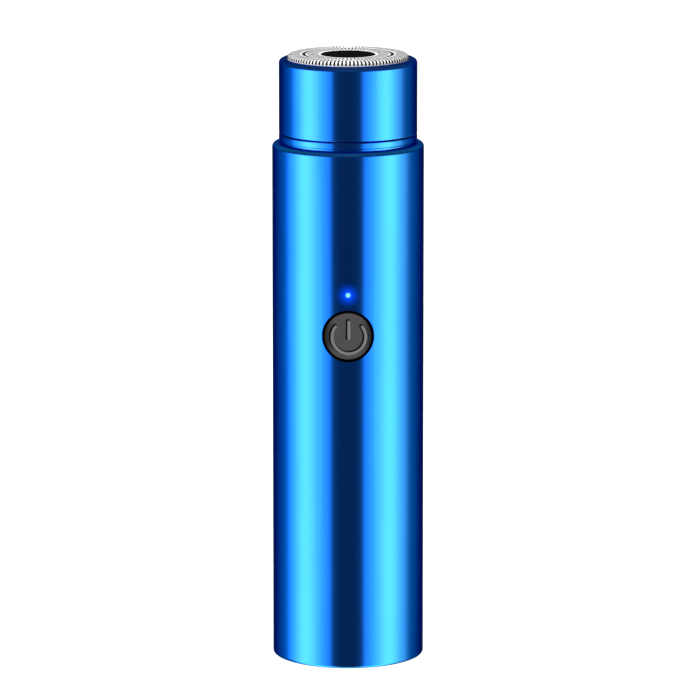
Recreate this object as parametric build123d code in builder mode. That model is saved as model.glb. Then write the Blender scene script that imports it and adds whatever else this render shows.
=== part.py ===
"""Pocket rotary shaver: a round handle tube with a pull-off head and one floating slotted foil.

Millimetres, +Z up along the handle's axis, origin at the middle of the foot, button on the -Y side.
The handle is built from the foot up and from the tube's rim down: the cell stands on the charging
socket, and the motor, the button and the light hang from the rim.
"""

from build123d import *
from math import radians, sqrt, tan
import os

os.makedirs("parts", exist_ok=True)

# ---------------------------------------------------------------- driving dimensions
# handle tube
body_radius = 15.0
body_height = 103.3
tube_wall = 1.2
rim_round = 0.8
foot_round = 0.6

# fits
slip_gap = 0.03  # parts pressed or pushed into one another
part_gap = 0.1  # loose parts side by side
shaft_gap = 0.03  # shaft in its bush
slide_gap = 0.2  # head over the neck

# foot
base_thickness = 3.0
base_foot_width = 3.4  # from the tube's outside in to the recess
base_recess_depth = 0.4
base_screw_inset = 2.6  # from the recess's edge in to the screws
base_screw_y = 3.0

# small screws
screw_radius = 0.8
screw_head_radius = 1.5
screw_head_height = 1.0
screw_hole_gap = 0.15
drive_slot_width = 0.45

# charging socket
usb_width = 8.94
usb_height = 3.26
usb_length = 7.3
usb_wall = 0.3
usb_setback = 0.2
usb_opening_gap = 0.2
tongue_width = 6.7
tongue_thickness = 0.7
tongue_setback = 0.8

# cell
cell_radius = 7.0
cell_length = 49.0
cell_nub_radius = 2.75
cell_nub_height = 1.0
tab_thickness = 0.3
tab_width = 5.0
cell_play = 0.15

# inner frame
frame_gap = 0.3
frame_wall = 1.3
frame_floor = 2.0
cell_wall = 1.4
cell_wall_above_socket = 1.4
board_rib = 4.0
lower_board_rib_z = 18.0
upper_board_rib_drop = 17.0  # from the button's centre down to the rib's middle
rib_window = 9.6
rib_window_depth = 4.5
terminal_opening_radius = 8.0

# circuit board and what is on it
board_thickness = 1.0
board_width = 16.0
board_screw_x = 6.5
board_screw_grip = 3.5
component_room = 3.0
board_above_led = 2.0
switch_width = 5.2
switch_thickness = 1.4
plunger_radius = 1.25
plunger_height = 0.9
led_chip_width = 1.6
led_chip_height = 0.8
led_chip_thickness = 0.6
chip_size = (5.0, 4.0, 1.5)
inductor_size = (4.0, 4.0, 1.8)
capacitor_size = (2.0, 1.25, 0.9)
wire_radius = 0.45
cell_wire_rise = 5.0
motor_wire_drop = 4.0

# button and light
button_drop = 36.3  # from the tube's rim down to the button's centre
led_above_button = 8.2
button_radius = 4.9
button_hole_gap = 0.25
button_sink = 0.05
button_edge = 0.45
button_flange = 1.0
button_flange_thickness = 0.8
button_stem_radius = 1.5
button_stem_length = 1.2
button_travel = 0.5
contact_gap = 0.02
symbol_radius = 3.78
symbol_stroke = 0.94
symbol_opening = 104.0  # degrees
symbol_depth = 0.35
symbol_bar_top = 3.5
symbol_bar_length = 4.3
guide_thickness = 0.8
guide_wall = 1.0
guide_width = 15.2
lens_radius = 0.65
lens_flange = 0.65
lens_gap = 0.08

# motor
motor_radius = 7.75
motor_flat = 12.0
motor_can_length = 17.0
motor_cap_length = 3.0
motor_wall = 0.6
motor_front = 0.8
motor_boss_radius = 2.6
motor_boss_height = 1.2
motor_shaft_radius = 1.0
bush_radius = 1.8
motor_screw_x = 5.2
terminal_length = 2.4
terminal_width = 1.8
terminal_thickness = 0.5
magnet_length = 11.0
air_gap = 0.35
core_length = 8.5
arm_width = 1.8
winding_end = 1.1
commutator_radius = 1.7
commutator_length = 1.6
brush_width = 1.2
brush_height = 0.8

# motor holder
holder_plate = 2.0
holder_wall = 1.3
pocket_wall = 1.2
holder_boss_length = 8.0
holder_screw_inset = 2.9  # from the shell's outside in to the screws
holder_screw_end_gap = 2.0

# neck
head_step = 1.34  # from the tube's outside in to the head's
neck_ledge = 0.3
neck_skirt_depth = 4.0
neck_skirt_wall = 1.2
reveal_depth = 0.25
reveal_height = 0.45
neck_band_height = 1.35
spigot_wall = 1.25
spigot_height = 4.7
o_ring_radius = 0.45
o_ring_squeeze_gap = 0.05
seal_height = 1.0
seal_wall = 1.0

# head
seam_gap = 0.2
head_length = 14.6
head_wall = 1.0
head_round = 0.8
head_lip = 1.0
foil_bay = 1.5
snap_depth = 0.3
snap_width = 0.8
snap_below_step = 4.4
retainer_wall = 1.0
retainer_bar = 1.3
retainer_bar_width = 2.4
retainer_bars = 3
retainer_eye_wall = 1.4
retainer_clearance = 0.4

# foil
foil_margin = 1.76  # from the head's outside in to the foil's
foil_proud = 0.9
foil_sheet = 0.3
foil_edge_round = 0.5
foil_flange = 0.4
foil_flange_thickness = 0.6
foil_float = 0.8
outer_slot_count = 96
outer_slot_width = 0.38
outer_slot_length = 2.45  # across the foil's top, in from its edge
inner_slot_count = 64
inner_slot_width = 0.34
inner_slot_length = 2.15
inner_slot_gap = 0.3  # from the groove in to the inner slots
track_groove_inset = 2.85  # from the foil's edge in to the groove
track_groove_width = 0.6
track_groove_depth = 0.35
badge_margin = 0.7  # from the inner slots in to the black centre
badge_dome = 0.12
badge_stud_radius = 1.4
badge_stud_length = 0.7

# cutter
blade_clearance = 0.05
blade_height = 2.2
blade_thickness = 0.45
blade_lean = 20.0  # degrees
outer_blade_count = 18
inner_blade_count = 18
cutter_plate = 0.6
hub_radius = 4.6
hub_flange = 1.0
hub_flange_thickness = 1.0
hub_length = 3.05
hub_stud_radius = 2.95
hub_rivet_radius = 3.6
hub_rivet_height = 0.5

# drive
tip_width = 3.0
tip_gap = 0.06
tip_length = 2.7
tip_end_gap = 0.3
spindle_radius = 3.4
spindle_length = 4.3
spindle_roof = 0.4
sleeve_across_flats = 3.4
sleeve_gap = 0.05
sleeve_collar_radius = 2.4
sleeve_collar_height = 1.3
sleeve_above_plate = 0.1
shaft_end_gap = 1.5
spring_wire_radius = 0.18
spring_radius = 2.85
spring_turns = 4

# ---------------------------------------------------------------- derived places
tube_inner_radius = body_radius - tube_wall

# rim downwards: neck, motor holder, motor
plate_top_z = body_height + neck_ledge
motor_front_z = plate_top_z - holder_plate
can_bottom_z = motor_front_z - motor_can_length
motor_bottom_z = can_bottom_z - motor_cap_length
terminal_bottom_z = motor_bottom_z - terminal_length
frame_top_z = motor_bottom_z - terminal_length * 2 / 3
skirt_bottom_z = body_height - neck_skirt_depth
shoulder_z = skirt_bottom_z - part_gap
button_z = body_height - button_drop
led_z = button_z + led_above_button
board_top_z = led_z + board_above_led

# rim upwards: neck ring, head
band_bottom_z = body_height + reveal_height
band_top_z = band_bottom_z + neck_band_height
spigot_top_z = band_top_z + spigot_height
head_bottom_z = band_top_z + seam_gap
head_top_z = head_bottom_z + head_length
lip_bottom_z = head_top_z - head_lip
step_z = lip_bottom_z - foil_bay
foil_top_z = head_top_z + foil_proud
foil_under_z = foil_top_z - foil_sheet
flange_bottom_z = lip_bottom_z - foil_flange_thickness

# foot upwards: socket, cell
usb_mouth_z = base_recess_depth + usb_setback
usb_top_z = usb_mouth_z + usb_length
lower_wall_z = usb_top_z + cell_wall_above_socket
lower_tab_z = lower_wall_z + cell_wall
cell_bottom_z = lower_tab_z + tab_thickness
cell_top_z = cell_bottom_z + cell_length
upper_tab_z = cell_top_z + cell_nub_height
upper_wall_z = upper_tab_z + tab_thickness

# front inwards: button, guide, switch, board, cell
button_hole_radius = button_radius + button_hole_gap
flange_radius = button_radius + button_flange
button_face_y = -(body_radius - button_sink)
flange_front_y = -sqrt(tube_inner_radius**2 - flange_radius**2) + part_gap
flange_back_y = flange_front_y + button_flange_thickness
stem_tip_y = flange_back_y + button_stem_length
guide_front_y = flange_back_y + button_travel + part_gap
guide_back_y = guide_front_y + guide_thickness
plunger_tip_y = stem_tip_y + contact_gap
switch_front_y = plunger_tip_y + plunger_height
board_front_y = switch_front_y + switch_thickness
board_rear_y = board_front_y + board_thickness
port_y = board_rear_y + usb_height / 2
cell_y = board_rear_y + component_room + cell_radius

# radii
base_recess_radius = body_radius - base_foot_width
base_screw_x = base_recess_radius - base_screw_inset
head_radius = body_radius - head_step
reveal_radius = head_radius - reveal_depth
foil_radius = head_radius - foil_margin
outer_slot_start = foil_radius - outer_slot_length
track_groove_outer = foil_radius - track_groove_inset
track_groove_inner = track_groove_outer - track_groove_width
inner_slot_end = track_groove_inner - inner_slot_gap
inner_slot_start = inner_slot_end - inner_slot_length
badge_radius = inner_slot_start - badge_margin
frame_radius = tube_inner_radius - frame_gap
holder_screw_x = frame_radius - holder_screw_inset
neck_skirt_radius = tube_inner_radius - slip_gap
holder_plug_radius = neck_skirt_radius - neck_skirt_wall
head_bore_radius = head_radius - head_wall
foil_bay_radius = head_bore_radius - 0.15
foil_hole_radius = foil_radius + part_gap
spigot_radius = head_bore_radius - slide_gap
chamber_radius = spigot_radius - spigot_wall
retainer_radius = head_bore_radius - slip_gap
foil_flange_radius = foil_radius + foil_flange
foil_inner_radius = foil_radius - foil_sheet
cutter_radius = foil_inner_radius - 0.3
eye_radius = hub_radius + retainer_clearance
bush_bore_radius = motor_shaft_radius + shaft_gap

# cutter and drive, from the foil down
blade_top_z = foil_under_z - blade_clearance
cutter_top_z = blade_top_z - blade_height
cutter_bottom_z = cutter_top_z - cutter_plate
hub_flange_z = cutter_bottom_z - hub_flange_thickness
hub_bottom_z = hub_flange_z - hub_length
spindle_top_z = hub_bottom_z - tip_end_gap
tip_top_z = spindle_top_z + tip_length
spindle_bottom_z = spindle_top_z - spindle_length
sleeve_top_z = spindle_top_z - spindle_roof - foil_float - part_gap
collar_bottom_z = plate_top_z + sleeve_above_plate
collar_top_z = collar_bottom_z + sleeve_collar_height
shaft_top_z = sleeve_top_z - shaft_end_gap
retainer_top_z = flange_bottom_z - foil_float - part_gap
bar_top_z = hub_flange_z - foil_float - part_gap * 2
bar_bottom_z = bar_top_z - retainer_bar


# ---------------------------------------------------------------- shared shapes
def pan_screw(length: float) -> Part:
    """One pan-head screw with its head's seat at z = 0, the head above and the shank below."""
    with BuildPart() as screw:
        with BuildSketch():
            Circle(screw_head_radius)
        extrude(amount=screw_head_height)
        fillet(screw.edges().sort_by(Axis.Z)[-1], screw_head_height * 0.4)
        with BuildSketch():
            Circle(screw_radius)
        extrude(amount=-length)
        chamfer(screw.edges().sort_by(Axis.Z)[0], screw_radius * 0.3)
        with BuildSketch(Plane.XY.offset(screw_head_height)):
            Rectangle(screw_head_radius * 1.2, drive_slot_width)
            Rectangle(drive_slot_width, screw_head_radius * 1.2)
        extrude(amount=-screw_head_height * 0.5, mode=Mode.SUBTRACT)
    return screw.part


def motor_section(inset: float) -> Sketch:
    """The motor's round section with its two flats, made smaller all round by inset."""
    with BuildSketch() as section:
        Circle(motor_radius - inset)
        Rectangle(motor_radius * 3, motor_flat - inset * 2, mode=Mode.INTERSECT)
    return section.sketch


def cutter_blade(start: float, end: float) -> Part:
    """One leaning blade along +X, from radius start to radius end, rooted in the cutter's plate."""
    lean = blade_height * tan(radians(blade_lean))
    root_z = cutter_top_z - cutter_plate / 2
    with BuildPart() as blade:
        with BuildSketch(Plane.YZ.offset(start)):
            with BuildLine():
                Polyline(
                    (-blade_thickness / 2, root_z),
                    (blade_thickness / 2, root_z),
                    (blade_thickness / 2 + lean, blade_top_z),
                    (-blade_thickness / 2 + lean, blade_top_z),
                    close=True,
                )
            make_face()
        extrude(amount=end - start)
    return blade.part


def save(part: Part, name: str) -> None:
    """Label one finished piece and write it as its own STEP file."""
    part.label = name
    export_step(part, f"parts/{name}.step")


# ---------------------------------------------------------------- handle tube and foot
with BuildPart() as body_tube:
    with BuildSketch():
        Circle(body_radius)
        Circle(tube_inner_radius, mode=Mode.SUBTRACT)
    extrude(amount=body_height)
    outer_edges = body_tube.edges().filter_by(GeomType.CIRCLE).sort_by(SortBy.RADIUS)[-2:]
    fillet(outer_edges.sort_by(Axis.Z)[-1], rim_round)
    outer_edges = body_tube.edges().filter_by(GeomType.CIRCLE).sort_by(SortBy.RADIUS)[-2:]
    fillet(outer_edges.sort_by(Axis.Z)[0], foot_round)
    with BuildSketch(Plane.XZ):
        with Locations((0, button_z)):
            Circle(button_hole_radius)
        with Locations((0, led_z)):
            Circle(lens_radius + lens_gap)
    extrude(amount=body_radius * 2, mode=Mode.SUBTRACT)
save(body_tube.part, "body_tube")

base_radius = tube_inner_radius - slip_gap
port_width = usb_width + usb_opening_gap * 2
port_height = usb_height + usb_opening_gap * 2
with BuildPart() as base_cap:
    with BuildSketch():
        Circle(base_radius)
    extrude(amount=base_thickness)
    fillet(base_cap.edges().sort_by(Axis.Z)[0], base_recess_depth / 2)
    with BuildSketch():
        Circle(base_recess_radius)
    extrude(amount=base_recess_depth, mode=Mode.SUBTRACT)
    with BuildSketch():
        with Locations((0, port_y)):
            SlotOverall(port_width, port_height)
    extrude(amount=base_thickness, mode=Mode.SUBTRACT)
    with Locations(
        *[Location((x, base_screw_y, base_recess_depth), (180, 0, 0)) for x in (-base_screw_x, base_screw_x)]
    ):
        CounterBoreHole(
            radius=screw_radius + screw_hole_gap,
            counter_bore_radius=screw_head_radius + screw_hole_gap,
            counter_bore_depth=screw_head_height,
            depth=base_thickness,
        )
save(base_cap.part, "base_cap")

base_screw_seat_z = base_recess_depth + screw_head_height
with BuildPart() as base_screws:
    with Locations(
        *[Location((x, base_screw_y, base_screw_seat_z), (180, 0, 0)) for x in (-base_screw_x, base_screw_x)]
    ):
        add(pan_screw(base_thickness + frame_floor))
save(base_screws.part, "base_screws")

# ---------------------------------------------------------------- inner frame
lower_rib_z = lower_board_rib_z - board_rib / 2
upper_board_rib_z = button_z - upper_board_rib_drop
upper_rib_z = upper_board_rib_z - board_rib / 2
board_screw_places = [
    (x, z) for x in (-board_screw_x, board_screw_x) for z in (lower_board_rib_z, upper_board_rib_z)
]
boss_height = lower_wall_z - base_thickness
frame_screw_hole = screw_radius

with BuildPart() as inner_frame:
    # open-fronted shell
    with BuildSketch(Plane.XY.offset(base_thickness)):
        Circle(frame_radius)
        Circle(frame_radius - frame_wall, mode=Mode.SUBTRACT)
    extrude(amount=frame_top_z - base_thickness)
    # floor, cell walls, board ribs and the top plate
    for rib_z, rib_height in (
        (base_thickness, frame_floor),
        (lower_wall_z, cell_wall),
        (lower_rib_z, board_rib),
        (upper_rib_z, board_rib),
        (upper_wall_z, cell_wall),
        (frame_top_z - frame_floor, frame_floor),
    ):
        with BuildSketch(Plane.XY.offset(rib_z)):
            Circle(frame_radius - frame_wall / 2)
        extrude(amount=rib_height)
    # bosses for the two base screws
    with BuildSketch(Plane.XY.offset(base_thickness)):
        with Locations((-base_screw_x, base_screw_y), (base_screw_x, base_screw_y)):
            Circle(screw_radius * 2.4)
    extrude(amount=boss_height)
    # flat front where the circuit board lies
    with BuildSketch(Plane.XY.offset(base_thickness)):
        with Locations((0, board_rear_y)):
            Rectangle(frame_radius * 2, frame_radius, align=(Align.CENTER, Align.MAX))
    extrude(amount=frame_top_z - base_thickness, mode=Mode.SUBTRACT)
    # channel behind the board for the socket, the wires and the tall components
    with BuildSketch(Plane.XY.offset(base_thickness)):
        with Locations((0, board_rear_y)):
            Rectangle(rib_window, rib_window_depth, align=(Align.CENTER, Align.MIN))
    extrude(amount=frame_top_z - base_thickness, mode=Mode.SUBTRACT)
    # bore for the cell and its two tabs
    with BuildSketch(Plane.XY.offset(lower_tab_z)):
        with Locations((0, cell_y)):
            Circle(cell_radius + cell_play)
    extrude(amount=upper_wall_z - lower_tab_z, mode=Mode.SUBTRACT)
    # opening for the motor's terminals
    with BuildSketch(Plane.XY.offset(frame_top_z - frame_floor)):
        Circle(terminal_opening_radius)
    extrude(amount=frame_floor, mode=Mode.SUBTRACT)
    # screw holes: base, holder, board
    with BuildSketch(Plane.XY.offset(base_thickness)):
        with Locations((-base_screw_x, base_screw_y), (base_screw_x, base_screw_y)):
            Circle(frame_screw_hole)
    extrude(amount=boss_height - 1, mode=Mode.SUBTRACT)
    with BuildSketch(Plane.XY.offset(frame_top_z - frame_floor)):
        with Locations((-holder_screw_x, 0), (holder_screw_x, 0)):
            Circle(screw_radius + screw_hole_gap)
    extrude(amount=frame_floor, mode=Mode.SUBTRACT)
    with BuildSketch(Plane.XZ.offset(-board_rear_y)):
        with Locations(*board_screw_places):
            Circle(frame_screw_hole)
    extrude(amount=-5, mode=Mode.SUBTRACT)
save(inner_frame.part, "inner_frame")

with BuildPart() as board_screws:
    with Locations(*[Location((x, board_front_y, z), (90, 0, 0)) for x, z in board_screw_places]):
        add(pan_screw(board_thickness + board_screw_grip))
save(board_screws.part, "board_screws")

with BuildPart() as holder_screws:
    with Locations(
        *[Location((x, 0, frame_top_z - frame_floor), (180, 0, 0)) for x in (-holder_screw_x, holder_screw_x)]
    ):
        add(pan_screw(frame_floor + holder_boss_length - holder_screw_end_gap))
save(holder_screws.part, "holder_screws")

# ---------------------------------------------------------------- motor holder
pocket_radius = motor_radius + part_gap
pocket_outer_radius = pocket_radius + pocket_wall
with BuildPart() as motor_holder:
    # outer shell with its plug and the plate that carries the motor
    with BuildSketch(Plane.XZ):
        with BuildLine():
            Polyline(
                (frame_radius - holder_wall, frame_top_z),
                (frame_radius, frame_top_z),
                (frame_radius, shoulder_z),
                (holder_plug_radius, shoulder_z),
                (holder_plug_radius, plate_top_z),
                (motor_boss_radius + part_gap, plate_top_z),
                (motor_boss_radius + part_gap, motor_front_z),
                (holder_plug_radius - holder_wall, motor_front_z),
                (holder_plug_radius - holder_wall, shoulder_z - holder_wall),
                (frame_radius - holder_wall, shoulder_z - holder_wall),
                close=True,
            )
        make_face()
    revolve(axis=Axis.Z)
    # the motor's sleeve, and four webs between it and the shell
    for web_radius, web_top_z in (
        (frame_radius - holder_wall / 2, shoulder_z - holder_wall / 2),
        (holder_plug_radius - holder_wall / 2, motor_front_z),
    ):
        with BuildSketch(Plane.XY.offset(motor_bottom_z)):
            with PolarLocations(0, 4, start_angle=45):
                Rectangle(web_radius, holder_wall, align=(Align.MIN, Align.CENTER))
            Circle(pocket_outer_radius)
        extrude(amount=web_top_z - motor_bottom_z)
    # blocks for the two screws that hold the inner frame, from the sleeve to the shell
    with BuildSketch(Plane.XY.offset(frame_top_z)):
        with Locations((-holder_screw_x, 0), (holder_screw_x, 0)):
            Rectangle((frame_radius - holder_screw_x) * 2, screw_radius * 4)
        Circle(frame_radius, mode=Mode.INTERSECT)
    extrude(amount=holder_boss_length)
    # the motor's pocket, its two screws and the holder's own
    with BuildSketch(Plane.XY.offset(frame_top_z)):
        add(motor_section(-part_gap))
    extrude(amount=motor_front_z - frame_top_z, mode=Mode.SUBTRACT)
    with BuildSketch(Plane.XY.offset(motor_front_z)):
        with Locations((-motor_screw_x, 0), (motor_screw_x, 0)):
            Circle(screw_radius + screw_hole_gap)
    extrude(amount=holder_plate, mode=Mode.SUBTRACT)
    with BuildSketch(Plane.XY.offset(frame_top_z)):
        with Locations((-holder_screw_x, 0), (holder_screw_x, 0)):
            Circle(screw_radius)
    extrude(amount=holder_boss_length - holder_screw_end_gap / 2, mode=Mode.SUBTRACT)
save(motor_holder.part, "motor_holder")

# ---------------------------------------------------------------- motor, fixed pieces
boss_top_z = motor_front_z + motor_boss_height
with BuildPart() as motor_can:
    with BuildSketch(Plane.XY.offset(can_bottom_z)):
        add(motor_section(0))
    extrude(amount=motor_can_length)
    with BuildSketch(Plane.XY.offset(motor_front_z)):
        Circle(motor_boss_radius)
    extrude(amount=motor_boss_height)
    with BuildSketch(Plane.XY.offset(can_bottom_z)):
        add(motor_section(motor_wall))
    extrude(amount=motor_can_length - motor_front, mode=Mode.SUBTRACT)
    with BuildSketch(Plane.XY.offset(can_bottom_z)):
        Circle(bush_radius)
        with Locations((-motor_screw_x, 0), (motor_screw_x, 0)):
            Circle(screw_radius)
    extrude(amount=boss_top_z - can_bottom_z, mode=Mode.SUBTRACT)
save(motor_can.part, "motor_can")

with BuildPart() as motor_end_cap:
    with BuildSketch(Plane.XY.offset(motor_bottom_z)):
        add(motor_section(0))
    extrude(amount=motor_cap_length)
    with BuildSketch(Plane.XY.offset(can_bottom_z)):
        add(motor_section(motor_wall * 2))
    extrude(amount=-motor_cap_length / 2, mode=Mode.SUBTRACT)
    with BuildSketch(Plane.XY.offset(motor_bottom_z)):
        Circle(bush_radius)
        with Locations((-motor_screw_x, 0), (motor_screw_x, 0)):
            Rectangle(terminal_thickness, terminal_width)
    extrude(amount=motor_cap_length, mode=Mode.SUBTRACT)
save(motor_end_cap.part, "motor_end_cap")

with BuildPart() as motor_terminals:
    with BuildSketch(Plane.XY.offset(terminal_bottom_z)):
        with Locations((-motor_screw_x, 0), (motor_screw_x, 0)):
            Rectangle(terminal_thickness, terminal_width)
    extrude(amount=terminal_length + motor_cap_length / 2)
save(motor_terminals.part, "motor_terminals")

commutator_z = can_bottom_z
brush_z = commutator_z + commutator_length * 0.25
brush_reach = motor_screw_x - commutator_radius - air_gap * 0.3
brush_arm_length = brush_z + brush_height - motor_bottom_z - motor_cap_length / 2
with BuildPart() as motor_brushes:
    for side in (-1, 1):
        with Locations((side * (commutator_radius + air_gap * 0.3 + brush_reach / 2), 0, brush_z)):
            Box(brush_reach, brush_width, brush_height, align=(Align.CENTER, Align.CENTER, Align.MIN))
        with Locations((side * motor_screw_x, 0, motor_bottom_z + motor_cap_length / 2)):
            Box(terminal_thickness, brush_width, brush_arm_length, align=(Align.CENTER, Align.CENTER, Align.MIN))
save(motor_brushes.part, "motor_brushes")

magnet_outer_radius = motor_radius - motor_wall
magnet_inner_radius = motor_flat / 2 - motor_wall
magnet_z = motor_front_z - motor_front - 1.2 - magnet_length
with BuildPart() as motor_magnets:
    with BuildSketch(Plane.XY.offset(magnet_z)):
        Circle(magnet_outer_radius)
        Circle(magnet_inner_radius, mode=Mode.SUBTRACT)
        Rectangle(motor_radius * 3, motor_flat * 0.6, mode=Mode.INTERSECT)
    extrude(amount=magnet_length)
save(motor_magnets.part, "motor_magnets")

with BuildPart() as motor_bushes:
    with BuildSketch(Plane.XY.offset(motor_bottom_z)):
        Circle(bush_radius)
        Circle(bush_bore_radius, mode=Mode.SUBTRACT)
    extrude(amount=motor_cap_length / 2)
    with BuildSketch(Plane.XY.offset(motor_front_z - motor_front)):
        Circle(bush_radius)
        Circle(bush_bore_radius, mode=Mode.SUBTRACT)
    extrude(amount=boss_top_z - motor_front_z + motor_front)
save(motor_bushes.part, "motor_bushes")

with BuildPart() as motor_screws:
    with Locations((-motor_screw_x, 0, plate_top_z), (motor_screw_x, 0, plate_top_z)):
        add(pan_screw(holder_plate + motor_front))
save(motor_screws.part, "motor_screws")

# ---------------------------------------------------------------- motor, turning pieces
core_radius = magnet_inner_radius - air_gap
shoe_radius = core_radius - 0.8
core_z = magnet_z + (magnet_length - core_length) / 2
core_hub_radius = motor_shaft_radius + 1.0
with BuildPart() as motor_shaft:
    with BuildSketch(Plane.XY.offset(motor_bottom_z)):
        Circle(motor_shaft_radius)
    extrude(amount=shaft_top_z - motor_bottom_z)
    chamfer(motor_shaft.edges().sort_by(Axis.Z)[-1], motor_shaft_radius * 0.2)
save(motor_shaft.part, "motor_shaft")

with BuildPart() as armature_core:
    with BuildSketch(Plane.XY.offset(core_z)):
        Circle(core_radius)
        Circle(shoe_radius, mode=Mode.SUBTRACT)
        with PolarLocations(core_radius, 3, start_angle=60):
            Rectangle(core_radius, arm_width * 0.5, mode=Mode.SUBTRACT)
        Circle(core_hub_radius)
        with PolarLocations(0, 3):
            Rectangle(core_radius - 0.3, arm_width, align=(Align.MIN, Align.CENTER))
        Circle(motor_shaft_radius, mode=Mode.SUBTRACT)
    extrude(amount=core_length)
save(armature_core.part, "armature_core")

coil_start = core_hub_radius + 0.9
with BuildPart() as armature_windings:
    with BuildSketch(Plane.XY.offset(core_z - winding_end)):
        with PolarLocations(coil_start, 3):
            Rectangle(shoe_radius - coil_start, arm_width * 2, align=(Align.MIN, Align.CENTER))
        Circle(shoe_radius - part_gap, mode=Mode.INTERSECT)
    extrude(amount=core_length + winding_end * 2)
    with BuildSketch(Plane.XY.offset(core_z)):
        with PolarLocations(0, 3):
            Rectangle(core_radius, arm_width, align=(Align.MIN, Align.CENTER))
    extrude(amount=core_length, mode=Mode.SUBTRACT)
save(armature_windings.part, "armature_windings")

with BuildPart() as commutator:
    with BuildSketch(Plane.XY.offset(commutator_z)):
        Circle(commutator_radius)
        Circle(motor_shaft_radius, mode=Mode.SUBTRACT)
    extrude(amount=commutator_length)
save(commutator.part, "commutator")

with BuildPart() as drive_sleeve:
    with BuildSketch(Plane.XY.offset(collar_bottom_z)):
        Circle(sleeve_collar_radius)
    extrude(amount=sleeve_collar_height)
    with BuildSketch(Plane.XY.offset(collar_top_z)):
        RegularPolygon(sleeve_across_flats / 2, 6, major_radius=False)
    extrude(amount=sleeve_top_z - collar_top_z)
    with BuildSketch(Plane.XY.offset(collar_bottom_z)):
        Circle(motor_shaft_radius)
    extrude(amount=shaft_top_z - collar_bottom_z, mode=Mode.SUBTRACT)
save(drive_sleeve.part, "drive_sleeve")

spring_bottom_z = collar_top_z + spring_wire_radius
spring_height = spindle_bottom_z - collar_top_z - spring_wire_radius * 2 - contact_gap
with BuildPart() as spindle_spring:
    with BuildLine() as spring_line:
        Helix(spring_height / spring_turns, spring_height, spring_radius, center=(0, 0, spring_bottom_z))
    with BuildSketch(Plane(origin=spring_line.line @ 0, z_dir=spring_line.line % 0)):
        Circle(spring_wire_radius)
    sweep(path=spring_line.line, is_frenet=True)
save(spindle_spring.part, "spindle_spring")

with BuildPart() as drive_spindle:
    with BuildSketch(Plane.XY.offset(spindle_bottom_z)):
        Circle(spindle_radius)
    extrude(amount=spindle_length)
    chamfer(drive_spindle.edges().sort_by(Axis.Z)[-1], spindle_radius * 0.1)
    with BuildSketch(Plane.XY.offset(spindle_top_z)):
        Rectangle(tip_width, tip_width)
    extrude(amount=tip_length)
    chamfer(drive_spindle.edges().group_by(Axis.Z)[-1], tip_width * 0.12)
    with BuildSketch(Plane.XY.offset(spindle_bottom_z)):
        RegularPolygon(sleeve_across_flats / 2 + sleeve_gap, 6, major_radius=False)
    extrude(amount=spindle_length - spindle_roof, mode=Mode.SUBTRACT)
save(drive_spindle.part, "drive_spindle")

# ---------------------------------------------------------------- neck
o_ring_outer = head_bore_radius - o_ring_squeeze_gap
o_ring_centre = o_ring_outer - o_ring_radius
o_ring_z = band_top_z + spigot_height / 2
groove_floor_radius = o_ring_centre - o_ring_radius
with BuildPart() as neck_ring:
    with BuildSketch(Plane.XZ):
        with BuildLine():
            Polyline(
                (holder_plug_radius + slip_gap, skirt_bottom_z),
                (neck_skirt_radius, skirt_bottom_z),
                (neck_skirt_radius, body_height),
                (reveal_radius, body_height),
                (reveal_radius, band_bottom_z),
                (head_radius, band_bottom_z),
                (head_radius, band_top_z),
                (spigot_radius, band_top_z),
                (spigot_radius, o_ring_z - o_ring_radius),
                (groove_floor_radius, o_ring_z - o_ring_radius),
                (groove_floor_radius, o_ring_z + o_ring_radius),
                (spigot_radius, o_ring_z + o_ring_radius),
                (spigot_radius, spigot_top_z),
                (chamber_radius, spigot_top_z),
                (chamber_radius, plate_top_z),
                (holder_plug_radius + slip_gap, plate_top_z),
                close=True,
            )
        make_face()
    revolve(axis=Axis.Z)
    band_edges = neck_ring.edges().filter_by(GeomType.CIRCLE).filter_by(
        lambda edge: abs(edge.radius - head_radius) < 0.001
    )
    fillet(band_edges, neck_band_height * 0.12)
save(neck_ring.part, "neck_ring")

with BuildPart() as neck_o_ring:
    with Locations((0, 0, o_ring_z)):
        Torus(o_ring_centre, o_ring_radius)
save(neck_o_ring.part, "neck_o_ring")

seal_inner_radius = sleeve_collar_radius + part_gap
with BuildPart() as shaft_seal:
    with BuildSketch(Plane.XY.offset(plate_top_z)):
        Circle(seal_inner_radius + seal_wall)
        Circle(seal_inner_radius, mode=Mode.SUBTRACT)
    extrude(amount=seal_height)
    fillet(shaft_seal.edges().group_by(Axis.Z)[-1], seal_wall * 0.3)
save(shaft_seal.part, "shaft_seal")

# ---------------------------------------------------------------- cell
with BuildPart() as battery_cell:
    with BuildSketch(Plane.XY.offset(cell_bottom_z)):
        with Locations((0, cell_y)):
            Circle(cell_radius)
    extrude(amount=cell_length)
    fillet(battery_cell.edges().filter_by(GeomType.CIRCLE), cell_radius * 0.07)
    with BuildSketch(Plane.XY.offset(cell_top_z)):
        with Locations((0, cell_y)):
            Circle(cell_nub_radius)
    extrude(amount=cell_nub_height)
save(battery_cell.part, "battery_cell")

tab_front_y = board_rear_y + component_room - 0.9
tab_length = cell_y - tab_front_y + cell_radius * 0.6
for tab_name, tab_z in (("cell_negative_tab", lower_tab_z), ("cell_positive_tab", upper_tab_z)):
    with BuildPart() as cell_tab:
        with BuildSketch(Plane.XY.offset(tab_z)):
            with Locations((0, tab_front_y)):
                Rectangle(tab_width, tab_length, align=(Align.CENTER, Align.MIN))
        extrude(amount=tab_thickness)
        fillet(cell_tab.edges().filter_by(Axis.Z), tab_width * 0.1)
    save(cell_tab.part, tab_name)

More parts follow.
